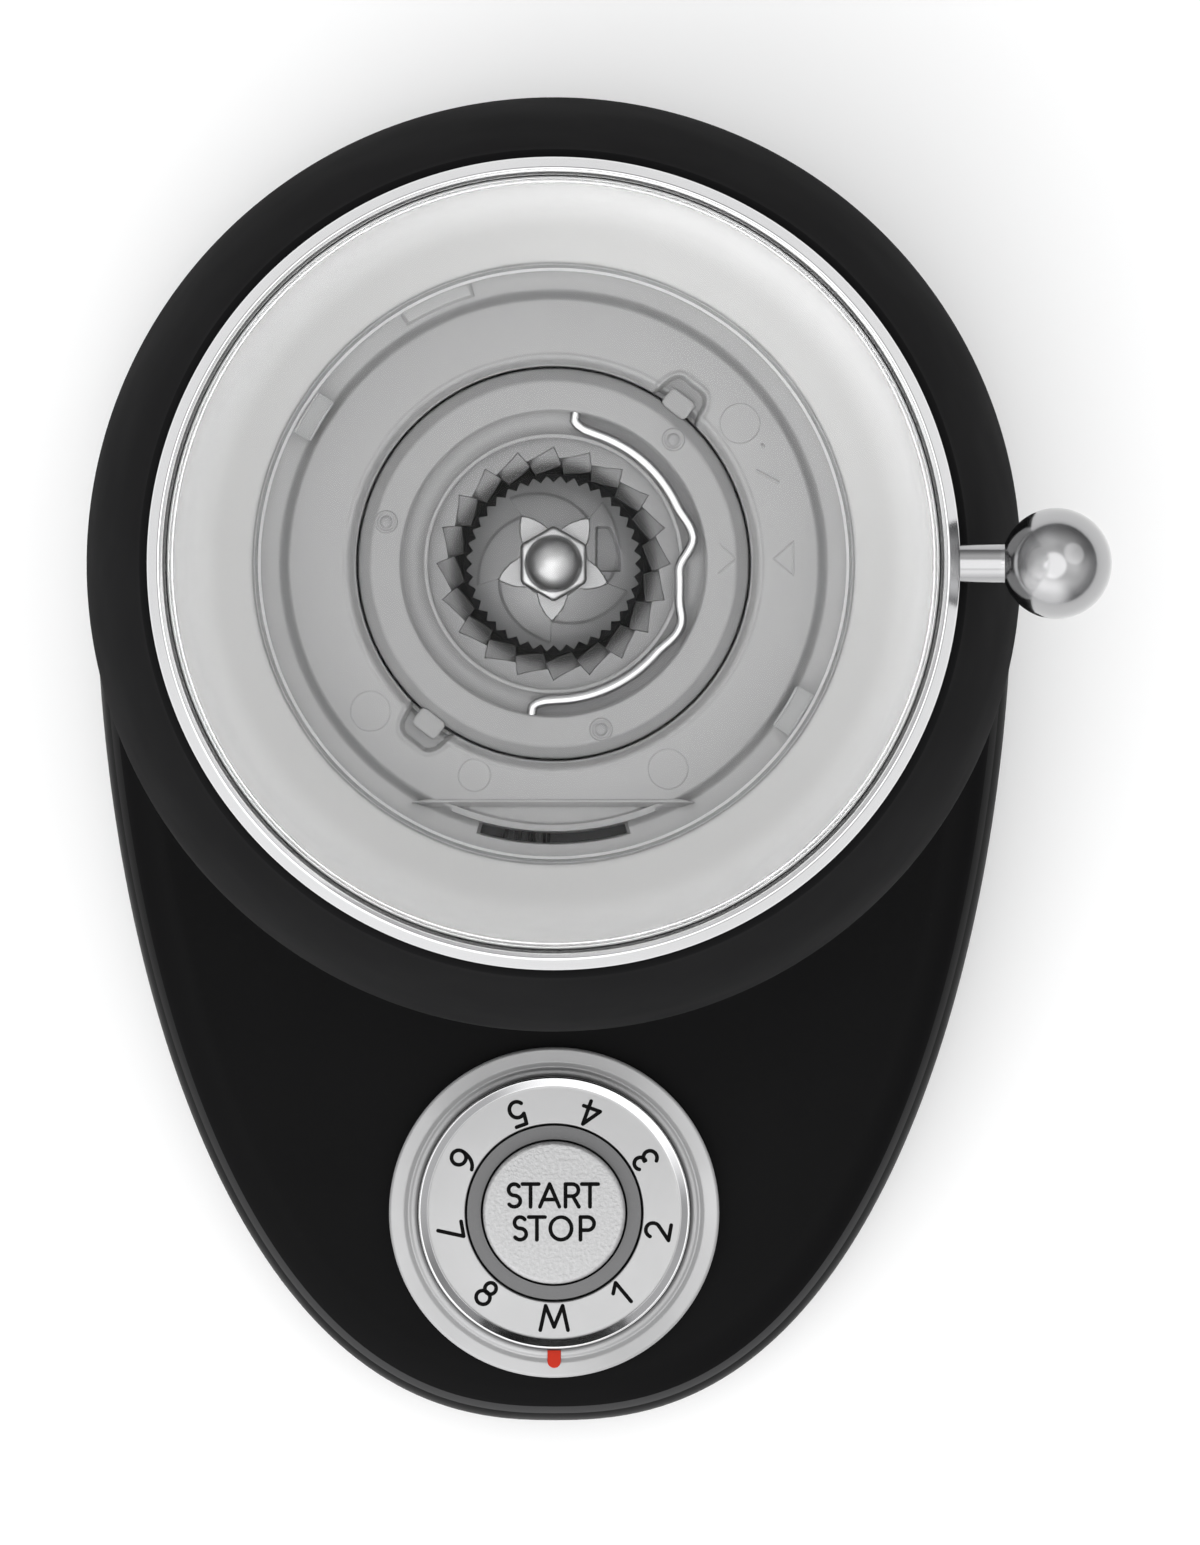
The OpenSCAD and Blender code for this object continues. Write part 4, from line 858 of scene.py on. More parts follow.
        # The edge faces take the finish with the painted highlight line.
        place("base_cover", base, BASE_PAINT, "housing", ["base_shell"], (EDGE_GLOSS_PAINTED_HIGHLIGHT, edge))
        for name, shape, node in (
            ("column_front", self.column(), "column_shell"),
            ("column_back", self.rear_cover(), "rear_cover"),
            ("head_bell", self.head(), "head_shell"),
        ):
            # Head and column take the black paint whose lighter colour paints their sheen.
            place(name, shape, BLACK_PAINT_PAINTED_SHEEN, "housing", [node])


@dataclass
class Adjuster:
    """The polished ring under the hopper, with its stem and ball."""

    cols: int = 288
    ring_r: float = 73.3
    bore: float = 71.0
    ring_z: float = 286.4
    top: float = 300.0
    bevel_w: float = 1.85
    bevel_h: float = 2.1
    lip_r: float = 68.92
    lip_z: float = 300.26
    lever_z: float = 293.2
    ball_at: float = 90.7
    ball_r: float = 10.0
    stem_r: float = 3.45

    def ring(self) -> Tuple[Shape, Array]:
        """A band with a wide bevel at its top and softened edges.

        Returns:
            The ring, and which of its faces are on its upright outside, which take a darker steel as painted
            shade.
        """
        corners = [
            (self.bore, self.ring_z), (self.ring_r, self.ring_z), (self.ring_r, self.top - self.bevel_h),
            (self.ring_r - self.bevel_w, self.top), (self.bore, self.top),
        ]
        outline = rounded(corners, 0.35)
        upright = middles(outline)[:, 0] > self.ring_r - 0.02
        return lathe(outline, self.cols), np.repeat(upright, self.cols)

    def lip(self) -> Shape:
        """A thin polished lip inside the ring, hollow like a dish, that shows under the hopper's edge.

        Returns:
            The lip.
        """
        under = [(self.lip_r, self.lip_z), (self.bore + 0.05, self.lip_z)]
        over = arc((67.6, self.top + 7.85), 7.4, -62, -80, 10)
        return lathe(np.concatenate([under, over]), self.cols)

    def stem(self) -> Shape:
        """A round bar that flares a little where it meets the ball.

        Returns:
            The stem.
        """
        r, start, stop = self.stem_r, self.bore + 0.1, self.ball_at - self.ball_r + 2
        corners = [(0, start), (r, start), (r, stop - 2), (r + 0.3, stop), (0, stop)]
        bar = lathe(rounded(corners, 0.3, closed=False), 64)
        return bar.laid_along_x().moved(0, 0, self.lever_z)

    def ball(self) -> Shape:
        """A full ball: radius times the cosine and sine of the latitude."""
        full = lathe(arc((0, 0), self.ball_r, -90, 90, 64), 128)
        return full.laid_along_x().moved(self.ball_at, 0, self.lever_z)

    def build(self) -> None:
        """Adds the ring with its lip, the stem and the ball."""
        ring, side = self.ring()
        # The upright outside takes the darker ball steel: painted shade against the bright bevel.
        place("grind_ring", ring, RING_CHROME, "adjuster", ["adjust_ring"], (BALL_STEEL, side))
        place("grind_lip", self.lip(), CHROME, "adjuster")
        place("grind_stem", self.stem(), BALL_STEEL, "adjuster", ["lever_stem"])
        place("grind_ball", self.ball(), BALL_STEEL, "adjuster", ["lever_ball"])


@dataclass
class Hopper:
    """The clear bowl and its lid."""

    cols: int = 720
    mouth_r: float = 54.2
    floor_z: float = 291.9
    rim_z: float = 371.9
    radius: float = 70.0
    wall: float = 1.0
    bend: float = 12.0
    slope: float = 20.0
    neck_r: float = 53.9
    neck_in: float = 52.8
    foot_z: float = 281.9
    clip_turns: Pair = (148.5, 328.5)
    lid_h: float = 12.0
    lid_gap: float = 0.06
    plug_h: float = 10.0
    plug_t: float = 0.35
    plug_gap: float = 0.6

    def bend_at(self) -> Pair:
        """Finds the centre of the rounding between floor and wall.

        Returns:
            Its radius and height.
        """
        a = np.radians(self.slope)
        x = self.radius - self.bend
        return x, self.floor_z + (x - self.mouth_r) * np.tan(a) + self.bend / np.cos(a)

    def bowl(self) -> Tuple[Shape, Array]:
        """A neck, a sloping floor, a rounded bend and a straight wall.

        Returns:
            The bowl, and True for the faces of its neck and rim that take the painted highlight.
        """
        r, bore, top, floor = self.radius, self.radius - self.wall, self.rim_z, self.floor_z
        inside = floor + self.wall / np.cos(np.radians(self.slope))
        centre = self.bend_at()
        foot = [(self.neck_in, self.foot_z), (self.neck_r, self.foot_z)]
        shoulder = [(self.neck_r, floor - 0.5), (self.neck_r + 0.3, floor - 0.1)]
        outer = arc(centre, self.bend, self.slope - 90, 0, 20)
        rim = [
            (r, top - 0.5), (r - 0.15, top - 0.12), (r - 0.5, top),
            (bore + 0.3, top), (bore + 0.08, top - 0.1), (bore, top - 0.3),
        ]
        inner = arc(centre, self.bend - self.wall, 0, self.slope - 90, 20)
        throat = [(self.neck_in + 0.5, inside - 0.3), (self.neck_in, inside - 0.8)]
        profile = np.concatenate([foot, shoulder, outer, rim, inner, throat])
        painted_highlight_faces = np.zeros(len(profile), bool)
        start = len(foot) + len(shoulder) + len(outer)
        painted_highlight_faces[: len(foot) + 1] = True
        painted_highlight_faces[start : start + len(rim) - 1] = True
        painted_highlight_faces[-len(throat) :] = True
        return lathe(profile, self.cols), np.repeat(painted_highlight_faces, self.cols)

    def clips(self) -> Shape:
        """Two soft-edged tabs inside the neck, each with a rib along its edges.

        Returns:
            The clips.
        """
        tab = pillow((3.6, 8.6, 4.0), (50.9, 0, self.foot_z + 2.2), 0.16)
        turn = np.linspace(-4.6, 4.6, 24)
        ribs = [tube(polar(r, turn, self.foot_z + 4.1), 0.22, 8) for r in (49.3, 52.4)]
        clip = joined([tab] + ribs)
        return joined([clip.turned(a) for a in self.clip_turns])

    def lid(self) -> Tuple[Shape, Array]:
        """A shallow crowned plate with a rounded edge and a plug that stands in the bowl.

        Returns:
            The lid, and True for the faces of its upright edge that take the painted highlight.
        """
        r, seat, top = self.radius, self.rim_z + self.lid_gap, self.rim_z + self.lid_h
        plug, foot = r - self.wall - self.plug_gap, seat - self.plug_h
        bore = plug - self.plug_t
        under = [
            (0, top - 2.0), (r - 8, top - 2.2), (bore - 0.4, top - 2.6), (bore, top - 3.2),
            (bore, foot + 0.2), (bore + 0.2, foot), (plug - 0.2, foot), (plug, foot + 0.2),
            (plug, seat - 0.2), (plug + 0.3, seat), (r - 0.3, seat), (r, seat + 0.3),
        ]
        edge = arc((r - 5, top - 6), 5, 0, 84, 12)
        crown = [(r - 9, top - 0.7), (r - 24, top - 0.25), (0, top)]
        shape = lathe(np.concatenate([under, edge, crown]), self.cols)
        painted_highlight_faces = np.zeros(shape.face_count(), bool)
        painted_highlight_faces[np.arange(self.cols) + (len(under) - 2) * self.cols] = True
        return shape, painted_highlight_faces

    def seal(self) -> Shape:
        """A soft ring carried round the lid's plug, against the bowl's wall."""
        path = polar(self.radius - self.wall - 0.5, full_turn(360), self.rim_z - self.plug_h / 2)
        return tube(path, 0.42, 12, looped=True)

    def build(self) -> None:
        """Adds the bowl with its clips, and the lid with its seal."""
        bowl, painted_highlight_faces = self.bowl()
        # The neck and rim faces take the whitish finish as a painted highlight.
        place("hopper_bowl", bowl, CLEAR, "bowl", ["hopper"], (CLEAR_EDGE_PAINTED_HIGHLIGHT, painted_highlight_faces))
        place("hopper_clips", self.clips(), CLIP, "bowl")
        lid, painted_highlight_faces = self.lid()
        # The lid's upright edge takes the whitish finish as a painted highlight.
        place("hopper_cap", lid, CLEAR_LID, "lid", ["hopper_lid"], (CLEAR_EDGE_PAINTED_HIGHLIGHT, painted_highlight_faces))
        place("cap_seal", self.seal(), SEAL, "lid", ["lid_seal"])


@dataclass
class Deck:
    """The grey moulding round the burrs: a plate with its details, and the dish under the hopper."""

    cols: int = 900
    top: float = 284.0
    low: float = 279.0
    in_r: float = 35.8
    bevel_r: float = 37.4
    bevel_h: float = 2.4
    bead_r: float = 37.7
    bead_h: float = 0.18
    flat_r: float = 47.6
    channel_r: float = 49.7
    edge_r: float = 54.1
    mouth_r: float = 54.2
    drop: float = 2.5
    chord: float = 43.0
    recess_h: float = 1.3
    lip_r: float = 47.8
    lip_half: float = 23.0
    slot_at: float = 270.0
    slot_in: float = 48.6
    slot_out: float = 50.6
    slot_half: float = 15.6
    key_at: float = 114.0
    key_half: float = 7.3
    key_h: float = 1.1
    pocket_r: float = 36.2
    pocket_h: float = 3.4
    dish_stop: float = -28.2
    dish_under: float = 14.3
    dish_above: float = 12.4
    bar_half: float = 25.6

    def height(self, r: Array, t: Array) -> Array:
        """Height of the plate's upper face over radius and angle, as steps that add up.

        Args:
            r: radii, shaped to spread over t.
            t: angles in degrees.

        Returns:
            Heights in millimetres.
        """
        y = r * np.sin(np.radians(t))
        front, key = away(t, self.slot_at), away(t, self.key_at)
        bead = np.exp(-(((r - self.bead_r) / 0.3) ** 2))
        z = self.top - self.drop * ramp(r, self.flat_r, self.channel_r)
        z = z - self.bevel_h * ramp(-r, -self.bevel_r, -self.in_r) + self.bead_h * bead
        z = z - self.recess_h * ramp(-y, self.chord, self.chord + 0.7) * ramp(-r, -47.4, -46.8)
        lip = within(r - self.lip_r, 0.7, 0.15) * within(front, self.lip_half, 0.4)
        z = np.maximum(z, (self.top + 0.05) * lip)
        middle, half = (self.slot_in + self.slot_out) / 2, (self.slot_out - self.slot_in) / 2
        slot = within(r - middle, half, 0.12) * within(front, self.slot_half, 0.2)
        z = z - (z - self.low - 0.4) * slot
        z = z + self.key_h * within(key, self.key_half, 0.3) * ramp(r, 50.3, 50.8) * ramp(-r, -53.2, -52.8)
        for turn in LUG_TURNS:
            z = z + self.pocket(r, np.radians(t - turn))
        return z

    def pocket(self, r: Array, turn: Array) -> Array:
        """Step of the pocket round a lug, by the distance from a square with rounded corners.

        Args:
            r: radii.
            turn: angles from the lug in radians.

        Returns:
            Heights to add: a bead along the pocket's edge, and its floor.
        """
        u = r * np.cos(turn) - self.pocket_r
        w = r * np.sin(turn) * (1 + 0.05 * u)
        over_u, over_w = np.abs(u) - 2.6, np.abs(w) - 2.4
        outside = np.sqrt(np.maximum(over_u, 0) ** 2 + np.maximum(over_w, 0) ** 2)
        d = outside + np.minimum(np.maximum(over_u, over_w), 0) - 2.8
        return (np.cos(turn) > 0) * (0.4 * np.exp(-((d / 0.45) ** 2)) - self.pocket_h * ramp(-d, 0.3, 1.1))

    def plate(self) -> Shape:
        """A grid over radius and angle for the upper face, closed by a flat underside.

        Returns:
            The plate.
        """
        t = full_turn(self.cols)
        spans = ((self.edge_r, 46.0, 46), (45.6, 42.2, 10), (42.0, self.in_r, 32))
        r = np.concatenate([np.linspace(*span) for span in spans])[:, None]
        radii = np.concatenate([[[self.in_r], [self.edge_r]], r])
        z = np.concatenate([np.full((2, self.cols), self.low), self.height(r, t)])
        return ring_shape(polar(radii, t, z))

    def dish(self, hopper: Hopper) -> Shape:
        """The wall round the mouth and the dish that follows the bowl's underside a little below it.

        Args:
            hopper: the bowl that lies in the dish.

        Returns:
            The turned solid.
        """
        r, low, centre = self.mouth_r, self.low, hopper.bend_at()
        start, stop = hopper.slope - 90, self.dish_stop
        foot = [(r, low), (r + 0.9, low), (r + 0.9, 289.3), (56.0, 289.6)]
        under = arc(centre, self.dish_under, start, stop, 12)
        above = arc(centre, self.dish_above, stop, start, 16)
        rim = rounded([(r, 285.0), (r, 291.5), (56.5, 292.3)], 0.9, closed=False)[::-1]
        return lathe(np.concatenate([foot, under, above, rim]), 256)

    def marks(self) -> Shape:
        """Raised lines on the plate: round ejector marks, an arrow, and a setting line with its dot.

        Returns:
            The marks.
        """
        z = self.top
        rings = ((33.7, 25.3, 3.6), (-33.1, -26.7, 3.6), (-14.3, -38.3, 2.9), (20.7, -37.2, 3.6))
        arrow = [(39.8, 0.9), (43.4, 4.1), (43.4, -2.2), (39.8, 0.9)]
        setting = [(36.6, 16.9), (40.8, 14.6)]
        lines = [tube(polar(r, full_turn(64), z) + [x, y, 0], 0.13, 8, looped=True) for x, y, r in rings]
        lines += [tube(filled(lifted(plan, z), 10), r, 8) for plan, r in ((arrow, 0.16), (setting, 0.26))]
        return joined(lines + [pillow((0.9, 0.9, 0.5), (37.8, 21.3, z), 1.0, 8)])

    def bar(self) -> Shape:
        """A straight bar across the front of the plate: a low ridge along X that thins at its ends.

        Returns:
            The bar.
        """
        x = np.linspace(-self.bar_half, self.bar_half, 81)[:, None]
        size = ramp(self.bar_half + 0.1 - np.abs(x), 0.0, 3.0) * 0.75 + 0.05
        section = [(-1.0, -3.0), (0.7, -3.0), (0.7, 0.05), (0.4, 0.4), (0.0, 0.4), (-1.0, -0.7)]
        across, up = np.transpose(section)
        middle = -self.chord - 0.15
        z = self.top + np.where(up > 0, up * size, up)
        grid = np.stack(np.broadcast_arrays(x, middle + across * size, z), axis=-1)
        ends = [np.array([end, middle, self.top - 0.6]) for end in (-self.bar_half, self.bar_half)]
        return ring_shape(grid[:, ::-1], *ends)

    def switch(self) -> Shape:
        """A dark bar on the slot's floor, with ribs that rise as narrow cosine humps.

        Returns:
            The bar.
        """
        turns = np.linspace(self.slot_at - 15.3, self.slot_at + 15.3, 200)
        ribs = np.clip(np.cos(np.radians((turns - 262.5) * 120)), 0, 1) * (np.abs(turns - 265.2) < 5.6)
        heights = (self.low + 0.3, self.low + 0.7 + 2.0 * ribs)
        radii = (self.slot_out - 0.15, self.slot_in + 0.15)
        outer, inner = (np.stack([polar(r, turns, z) for z in heights]) for r in radii)
        return perforated(outer, inner, np.ones((1, len(turns) - 1), bool))

    def build(self, hopper: Hopper) -> None:
        """Adds the deck's pieces.

        Args:
            hopper: the bowl that lies in the dish.
        """
        # The plate's outer channel is painted lighter as painted light.
        place("deck_plate", self.plate(), DECK_GREY_PAINTED_LIGHT, "housing", ["hopper_deck"])
        # The dish turns almost white towards its rim as painted light.
        place("deck_dish", self.dish(hopper), DISH_GREY_PAINTED_LIGHT, "housing")
        place("deck_marks", self.marks(), GREY_PLASTIC, "housing")
        place("deck_bar", self.bar(), GREY_PLASTIC, "housing")
        place("slot_switch", self.switch(), SWITCH_BLACK, "housing", ["interlock_switch"])


@dataclass
class BurrSet:
    """The burr carrier with its ring burr and bail, and the cone burr with its nut."""

    top: float = 284.0
    carrier_r: float = 35.3
    carrier_low: float = 260.0
    seat_r: float = 24.05
    screw_at: float = 31.2
    screw_turns: Sequence[float] = (46.0, 166.0, 286.0)
    ring_r: float = 23.98
    ring_top: float = 277.0
    ring_low: float = 259.0
    bore_r: float = 16.3
    land_r: float = 21.15
    land_lean: float = 27.0
    coarse: int = 20
    fine: int = 40
    cone_low: float = 257.0
    cone_top: float = 274.0
    cone_r: float = 16.5
    wedge_at: float = 52.0
    wedge_pitch: float = 72.0
    nut_half: float = 6.0
    nut_corner: float = 6.75
    dome_r: float = 5.0
    bail_z: float = 281.3
    bail_turn: float = 81.7
    bail_r: float = 24.7
    wire_r: float = 0.95

    def carrier(self) -> Shape:
        """A stepped ring: bevelled rim, flat, cove for the bail, and a lip over the ring burr.

        Returns:
            The carrier with its two lugs.
        """
        r, seat, low, top = self.carrier_r, self.seat_r, self.carrier_low, self.top
        rim = rounded([(seat, low), (r, low), (r, top - 2.6), (33.1, top), (28.6, top)], 0.45, closed=False)
        throat = [(27.95, top - 0.12), (27.65, top - 0.5)]
        cove = arc((25.4, top - 2.5), 2.25, 0, -150, 16)
        mouth = [cove[-1], (22.8, top - 3.6), (22.8, self.ring_top), (seat, self.ring_top)]
        lip = rounded(mouth, 0.3, closed=False)[1:]
        ring = lathe(np.concatenate([rim, throat, cove, lip]), 256)
        lug = pillow((3.8, 5.4, 1.2), (36.7, 0, top - 2.0), 0.35)
        return joined([ring] + [lug.turned(a) for a in LUG_TURNS])

    def at_screws(self, shape: Shape) -> List[Shape]:
        """Returns a copy of a shape for each screw, in its place."""
        return [shape.moved(self.screw_at, 0, self.top).turned(a) for a in self.screw_turns]

    def carrier_marks(self) -> Shape:
        """The open arrow moulded on the carrier, and a round seat for each screw.

        Returns:
            The marks.
        """
        arrow = lifted([(30.0, 3.6), (33.0, 0.9), (29.8, -1.8)], self.top)
        seat = [(1.2, -0.4), (2.1, -0.4), (2.1, 0.05), (1.95, 0.3), (1.7, 0.3), (1.5, 0.02), (1.2, -0.1)]
        return joined([tube(filled(arrow, 10), 0.15, 8)] + self.at_screws(lathe(seat, 40)))

    def screws(self) -> Shape:
        """Three low domed heads."""
        dome = arc((0, 0), (1.15, 0.35), 0, 90, 8)
        return joined(self.at_screws(lathe(np.concatenate([[(0, -0.6), (1.15, -0.6)], dome]), 32)))

    def ring_burr(self) -> Tuple[Shape, Array]:
        """A ring with square-cornered lands cut into its upper face, each tilted and lower than the next.

        A land's outer edge is a straight line: its radius is the corner's times the cosine of the lean
        over the cosine of the lean less the turn from the corner. Its side leans with the radius.

        Returns:
            The closed ring, and which of its faces are left flat.
        """
        cols = self.coarse * 48
        t = full_turn(cols)
        r = np.concatenate([np.linspace(self.ring_r, 21.4, 6), np.linspace(21.2, self.bore_r, 70)])[:, None]
        pitch = 360.0 / self.coarse
        f = ((t + 1.4 * (self.land_r - r)) % pitch) / pitch
        corner = self.land_r * np.cos(np.radians(self.land_lean))
        inward = corner / np.cos(np.radians(self.land_lean - pitch * f)) - r
        z = self.ring_top - np.where(inward > 0, 0.9 + 0.16 * inward + 2.3 * f, 0)
        z = np.where(inward > 3.1 - 0.5 * f, self.ring_low + 3.0 + 3.0 * f, z)
        radii = np.concatenate([[[self.bore_r], [17.2], [self.ring_r]], r])
        low = np.full((3, cols), self.ring_low)
        low[0] += 1.0
        flat = np.zeros((len(radii), cols), bool)
        flat[3:-1] = inward[1:] <= 0
        return ring_shape(polar(radii, t, np.concatenate([low, z]))), flat.reshape(-1)

    def cone_burr(self) -> Tuple[Shape, Array]:
        """A toothed disc that rises to the nut: five flat wedges round it, and a stepped spiral outside each.

        Returns:
            The closed cone, as heights over radius and angle on top of a tapering skirt, and its wedge faces.
        """
        cols = self.fine * 18
        low, top = self.cone_low, self.cone_top
        t = full_turn(cols)
        saw = np.abs(((t / 360 * self.fine) % 1.0) * 2 - 1)
        edge = self.cone_r - 0.6 - 1.15 * saw
        part = ((t - self.wedge_at) / self.wedge_pitch + 0.5) % 1.0
        r = np.linspace(1.0, 0.0, 64)[:-1, None] * edge
        flank = top - 0.7 - 0.5 * np.clip(r - 6.5, 0, None)
        spiral = 10.0 + 4.0 * ((part + 0.5) % 1.0)
        z = flank - 0.25 * ramp(r - spiral, 0.0, 0.5)
        x, y = r * np.cos(np.radians(t)), r * np.sin(np.radians(t))
        scoop = ramp(x, 7.6, 7.9) * ramp(-r, -12.3, -11.6) * ramp(y, -1.5, -1.2) * ramp(-y, -6.8, -6.4)
        wedge = r < 6.2 + 4.2 * np.clip(1 - np.abs(part - 0.5) / 0.36, 0, 1)
        z = np.where(wedge, top - 0.25, z - 2.0 * scoop)
        skirt_r = np.stack([edge * 0.9, edge * 0.97, edge])
        skirt_z = np.repeat([[low], [low + 2.0], [top - 6.6]], cols, axis=1)
        grid = polar(np.concatenate([skirt_r, r]), t, np.concatenate([skirt_z, z]))
        solid = ring_shape(grid, np.array([0, 0, low]), np.array([0, 0, top - 0.25]))
        facet = np.zeros(solid.face_count(), bool)
        facet[3 * cols : len(solid.quads)] = wedge[:-1].reshape(-1)
        return solid, facet

    def nut(self) -> Shape:
        """A six-sided nut with a tall dome.

        A hexagon's radius is its half width over the cosine of the turn from the middle of a side.

        Returns:
            The nut.
        """
        base, cols = self.cone_top, 96
        foot = [(0, base + 2.0), (5.5, base + 2.0), (5.5, base + 3.8), (5.1, base + 4.0)]
        crown = lathe(np.concatenate([foot, arc((0, base + 4.2), self.dome_r, 0, 90, 19)]), cols)
        t = full_turn(cols)
        hexed = np.minimum(self.nut_half / np.cos(np.radians((t + 30) % 60 - 30)), self.nut_corner)
        levels = np.array([(0.2, 0.99), (0.6, 1.0), (3.0, 1.0), (3.7, 0.94), (3.9, 0.88)])
        grid = polar(levels[:, 1:] * hexed, t, base + levels[:, :1])
        tips = [np.array([0, 0, base + rise]) for rise in levels[[0, -1], 0]]
        return joined([crown, ring_shape(grid, *tips)])

    def bail(self) -> Shape:
        """A wire: pivot ends along the pivot axis, and a bow whose radius waves in at the finger grip.

        Returns:
            The wire.
        """
        turn = np.linspace(10, 170, 90)
        waves = ((1.1, 12, 13), (-1.9, -3, 14), (-1.0, -15, 11), (1.0, -28, 13))
        humps = [size * ramp(-np.abs(self.bail_turn - turn - at), -half, 0) for size, at, half in waves]
        bow = np.stack([self.bail_r + sum(humps), turn], axis=1)
        lead = np.array([(29.4, 0), (28.2, 0), (27.0, 0), (26.2, 0), (25.5, 1.6), (24.95, 4.5)])
        r, turns = np.concatenate([lead, bow, lead[::-1] * [1, -1] + [0, 180]]).T
        return tube(filled(polar(r, self.bail_turn - turns, self.bail_z), 2), self.wire_r, 20)

    def build(self) -> None:
        """Adds the carrier, the burrs, the nut and the bail."""
        place("burr_holder", self.carrier(), CARRIER_GREY, "carrier", ["burr_carrier"])
        place("holder_marks", self.carrier_marks(), CARRIER_GREY, "carrier")
        place("holder_screws", self.screws(), SCREW_ZINC, "carrier", ["carrier_screws"])
        ring, flat = self.ring_burr()
        # Faces other than the flat lands take the steel with painted shade towards the bore.
        place("toothed_ring", ring, BURR_STEEL_PAINTED_SHADE, "carrier", ["ring_burr"], (BURR_FLAT, flat))
        cone, flat = self.cone_burr()
        place("toothed_cone", cone, CONE_STEEL, "burr_drive", ["cone_burr"], (CONE_FACET, flat))
        place("domed_nut", self.nut(), NUT_STEEL, "burr_drive", ["burr_nut"])
        place("lifting_bail", self.bail(), CHROME, "bail", ["bail_handle"])


@dataclass
class Lettering:
    """Figures and capitals drawn with a pen of even width."""

    half: float = 0.36
    flat: float = 0.12
    steps: int = 33

    def lines(self, mark: str) -> List[Array]:
        """Centre lines of a mark in a box one high about its middle, as straight lines and parts of ellipses.

        Args:
            mark: the figure or capital.

        Returns:
            Its lines.
        """

        def line(*points: Pair) -> Array:
            """A straight line, or several in a row."""
            return np.array(points, float)

        def bow(x: float, y: float, rx: float, ry: float, start: float, stop: float) -> Array:
            """Part of an ellipse, from a start to a stop angle."""
            return arc((x, y), (rx, ry), start, stop, 39)

        stem = line((-0.28, -0.5), (-0.28, 0.5))
        marks = {
            "M": [
                line((-0.57, -0.5), (-0.35, 0.5)), line((-0.35, 0.5), (0, -0.37)),
                line((0, -0.37), (0.35, 0.5)), line((0.35, 0.5), (0.57, -0.5)),
            ],
            "1": [line((-0.28, 0.22), (0.08, 0.5)), line((0.08, 0.5), (0.08, -0.5))],
            "2": [
                np.concatenate([bow(0, 0.2, 0.29, 0.3, 165, -38), [[-0.31, -0.5]]]),
                line((-0.31, -0.5), (0.33, -0.5)),
            ],
            "3": [bow(-0.02, 0.25, 0.25, 0.25, 140, -90), bow(-0.02, -0.22, 0.29, 0.28, 90, -145)],
            "4": [
                line((0.14, -0.5), (0.14, 0.5)), line((0.14, 0.5), (-0.36, -0.22)),
                line((-0.36, -0.22), (0.36, -0.22)),
            ],
            "5": [
                line((0.25, 0.5), (-0.19, 0.5)), line((-0.19, 0.5), (-0.23, 0.07)),
                bow(-0.01, -0.17, 0.31, 0.33, 132, -145),
            ],
            "6": [bow(0, -0.2, 0.3, 0.3, 0, 360), bow(0.26, -0.2, 0.56, 0.72, 180, 100)],
            "7": [line((-0.31, 0.5), (0.31, 0.5)), line((0.31, 0.5), (-0.1, -0.5))],
            "8": [bow(0, 0.26, 0.23, 0.24, 0, 360), bow(0, -0.22, 0.29, 0.28, 0, 360)],
            "S": [
                np.concatenate([bow(0, 0.25, 0.25, 0.25, 35, 270), bow(0, -0.25, 0.27, 0.25, 90, -145)[1:]])
            ],
            "T": [line((-0.36, 0.5), (0.36, 0.5)), line((0, 0.5), (0, -0.5))],
            "A": [
                line((-0.43, -0.5), (0, 0.5)), line((0, 0.5), (0.43, -0.5)),
                line((-0.29, -0.18), (0.29, -0.18)),
            ],
            "R": [
                stem, np.concatenate([stem[1:], bow(0.02, 0.235, 0.27, 0.265, 90, -90), [[-0.28, -0.03]]]),
                line((0.04, -0.03), (0.31, -0.5)),
            ],
            "O": [bow(0, 0, 0.47, 0.5, 0, 360)],
            "P": [stem, np.concatenate([stem[1:], bow(0.03, 0.21, 0.29, 0.29, 90, -90), [[-0.28, -0.08]]])],
        }
        return marks[mark]

    def stroke(self, line: Array) -> Shape:
        """A flattened tube along a line: its radius falls off at both ends as the cosine of a quarter turn.

        Args:
            line: points of the centre line.

        Returns:
            The stroke.
        """
        run = np.concatenate([[0], np.cumsum(np.linalg.norm(np.diff(line, axis=0), axis=1))])
        even = np.linspace(0, run[-1], self.steps)
        p = np.stack([np.interp(even, run, column) for column in line.T], axis=1)
        a = np.radians([82.0, 65.0, 45.0, 22.0])
        back, on = ((end - beside) / np.linalg.norm(end - beside) for end, beside in (p[:2], p[:-3:-1]))
        first = p[0] + self.half * np.outer(np.sin(a), back)
        last = p[-1] + self.half * np.outer(np.sin(a[::-1]), on)
        width = self.half * np.concatenate([np.cos(a), np.ones(self.steps), np.cos(a[::-1])])
        solid = tube(lifted(np.concatenate([first, p, last]), 0.0), width, 10)
        return Shape(solid.points * [1, 1, self.flat], solid.quads, solid.tris)

    def word(self, text: str, steps: Sequence[float], height: float) -> Shape:
        """Sets marks side by side.

        Args:
            text: the marks.
            steps: where the middle of each stands, in heights.
            height: height of a capital in millimetres.

        Returns:
            The word about its middle.
        """
        lines = [line + [x, 0] for mark, x in zip(text, steps) for line in self.lines(mark)]
        return joined([self.stroke(height * line) for line in lines])


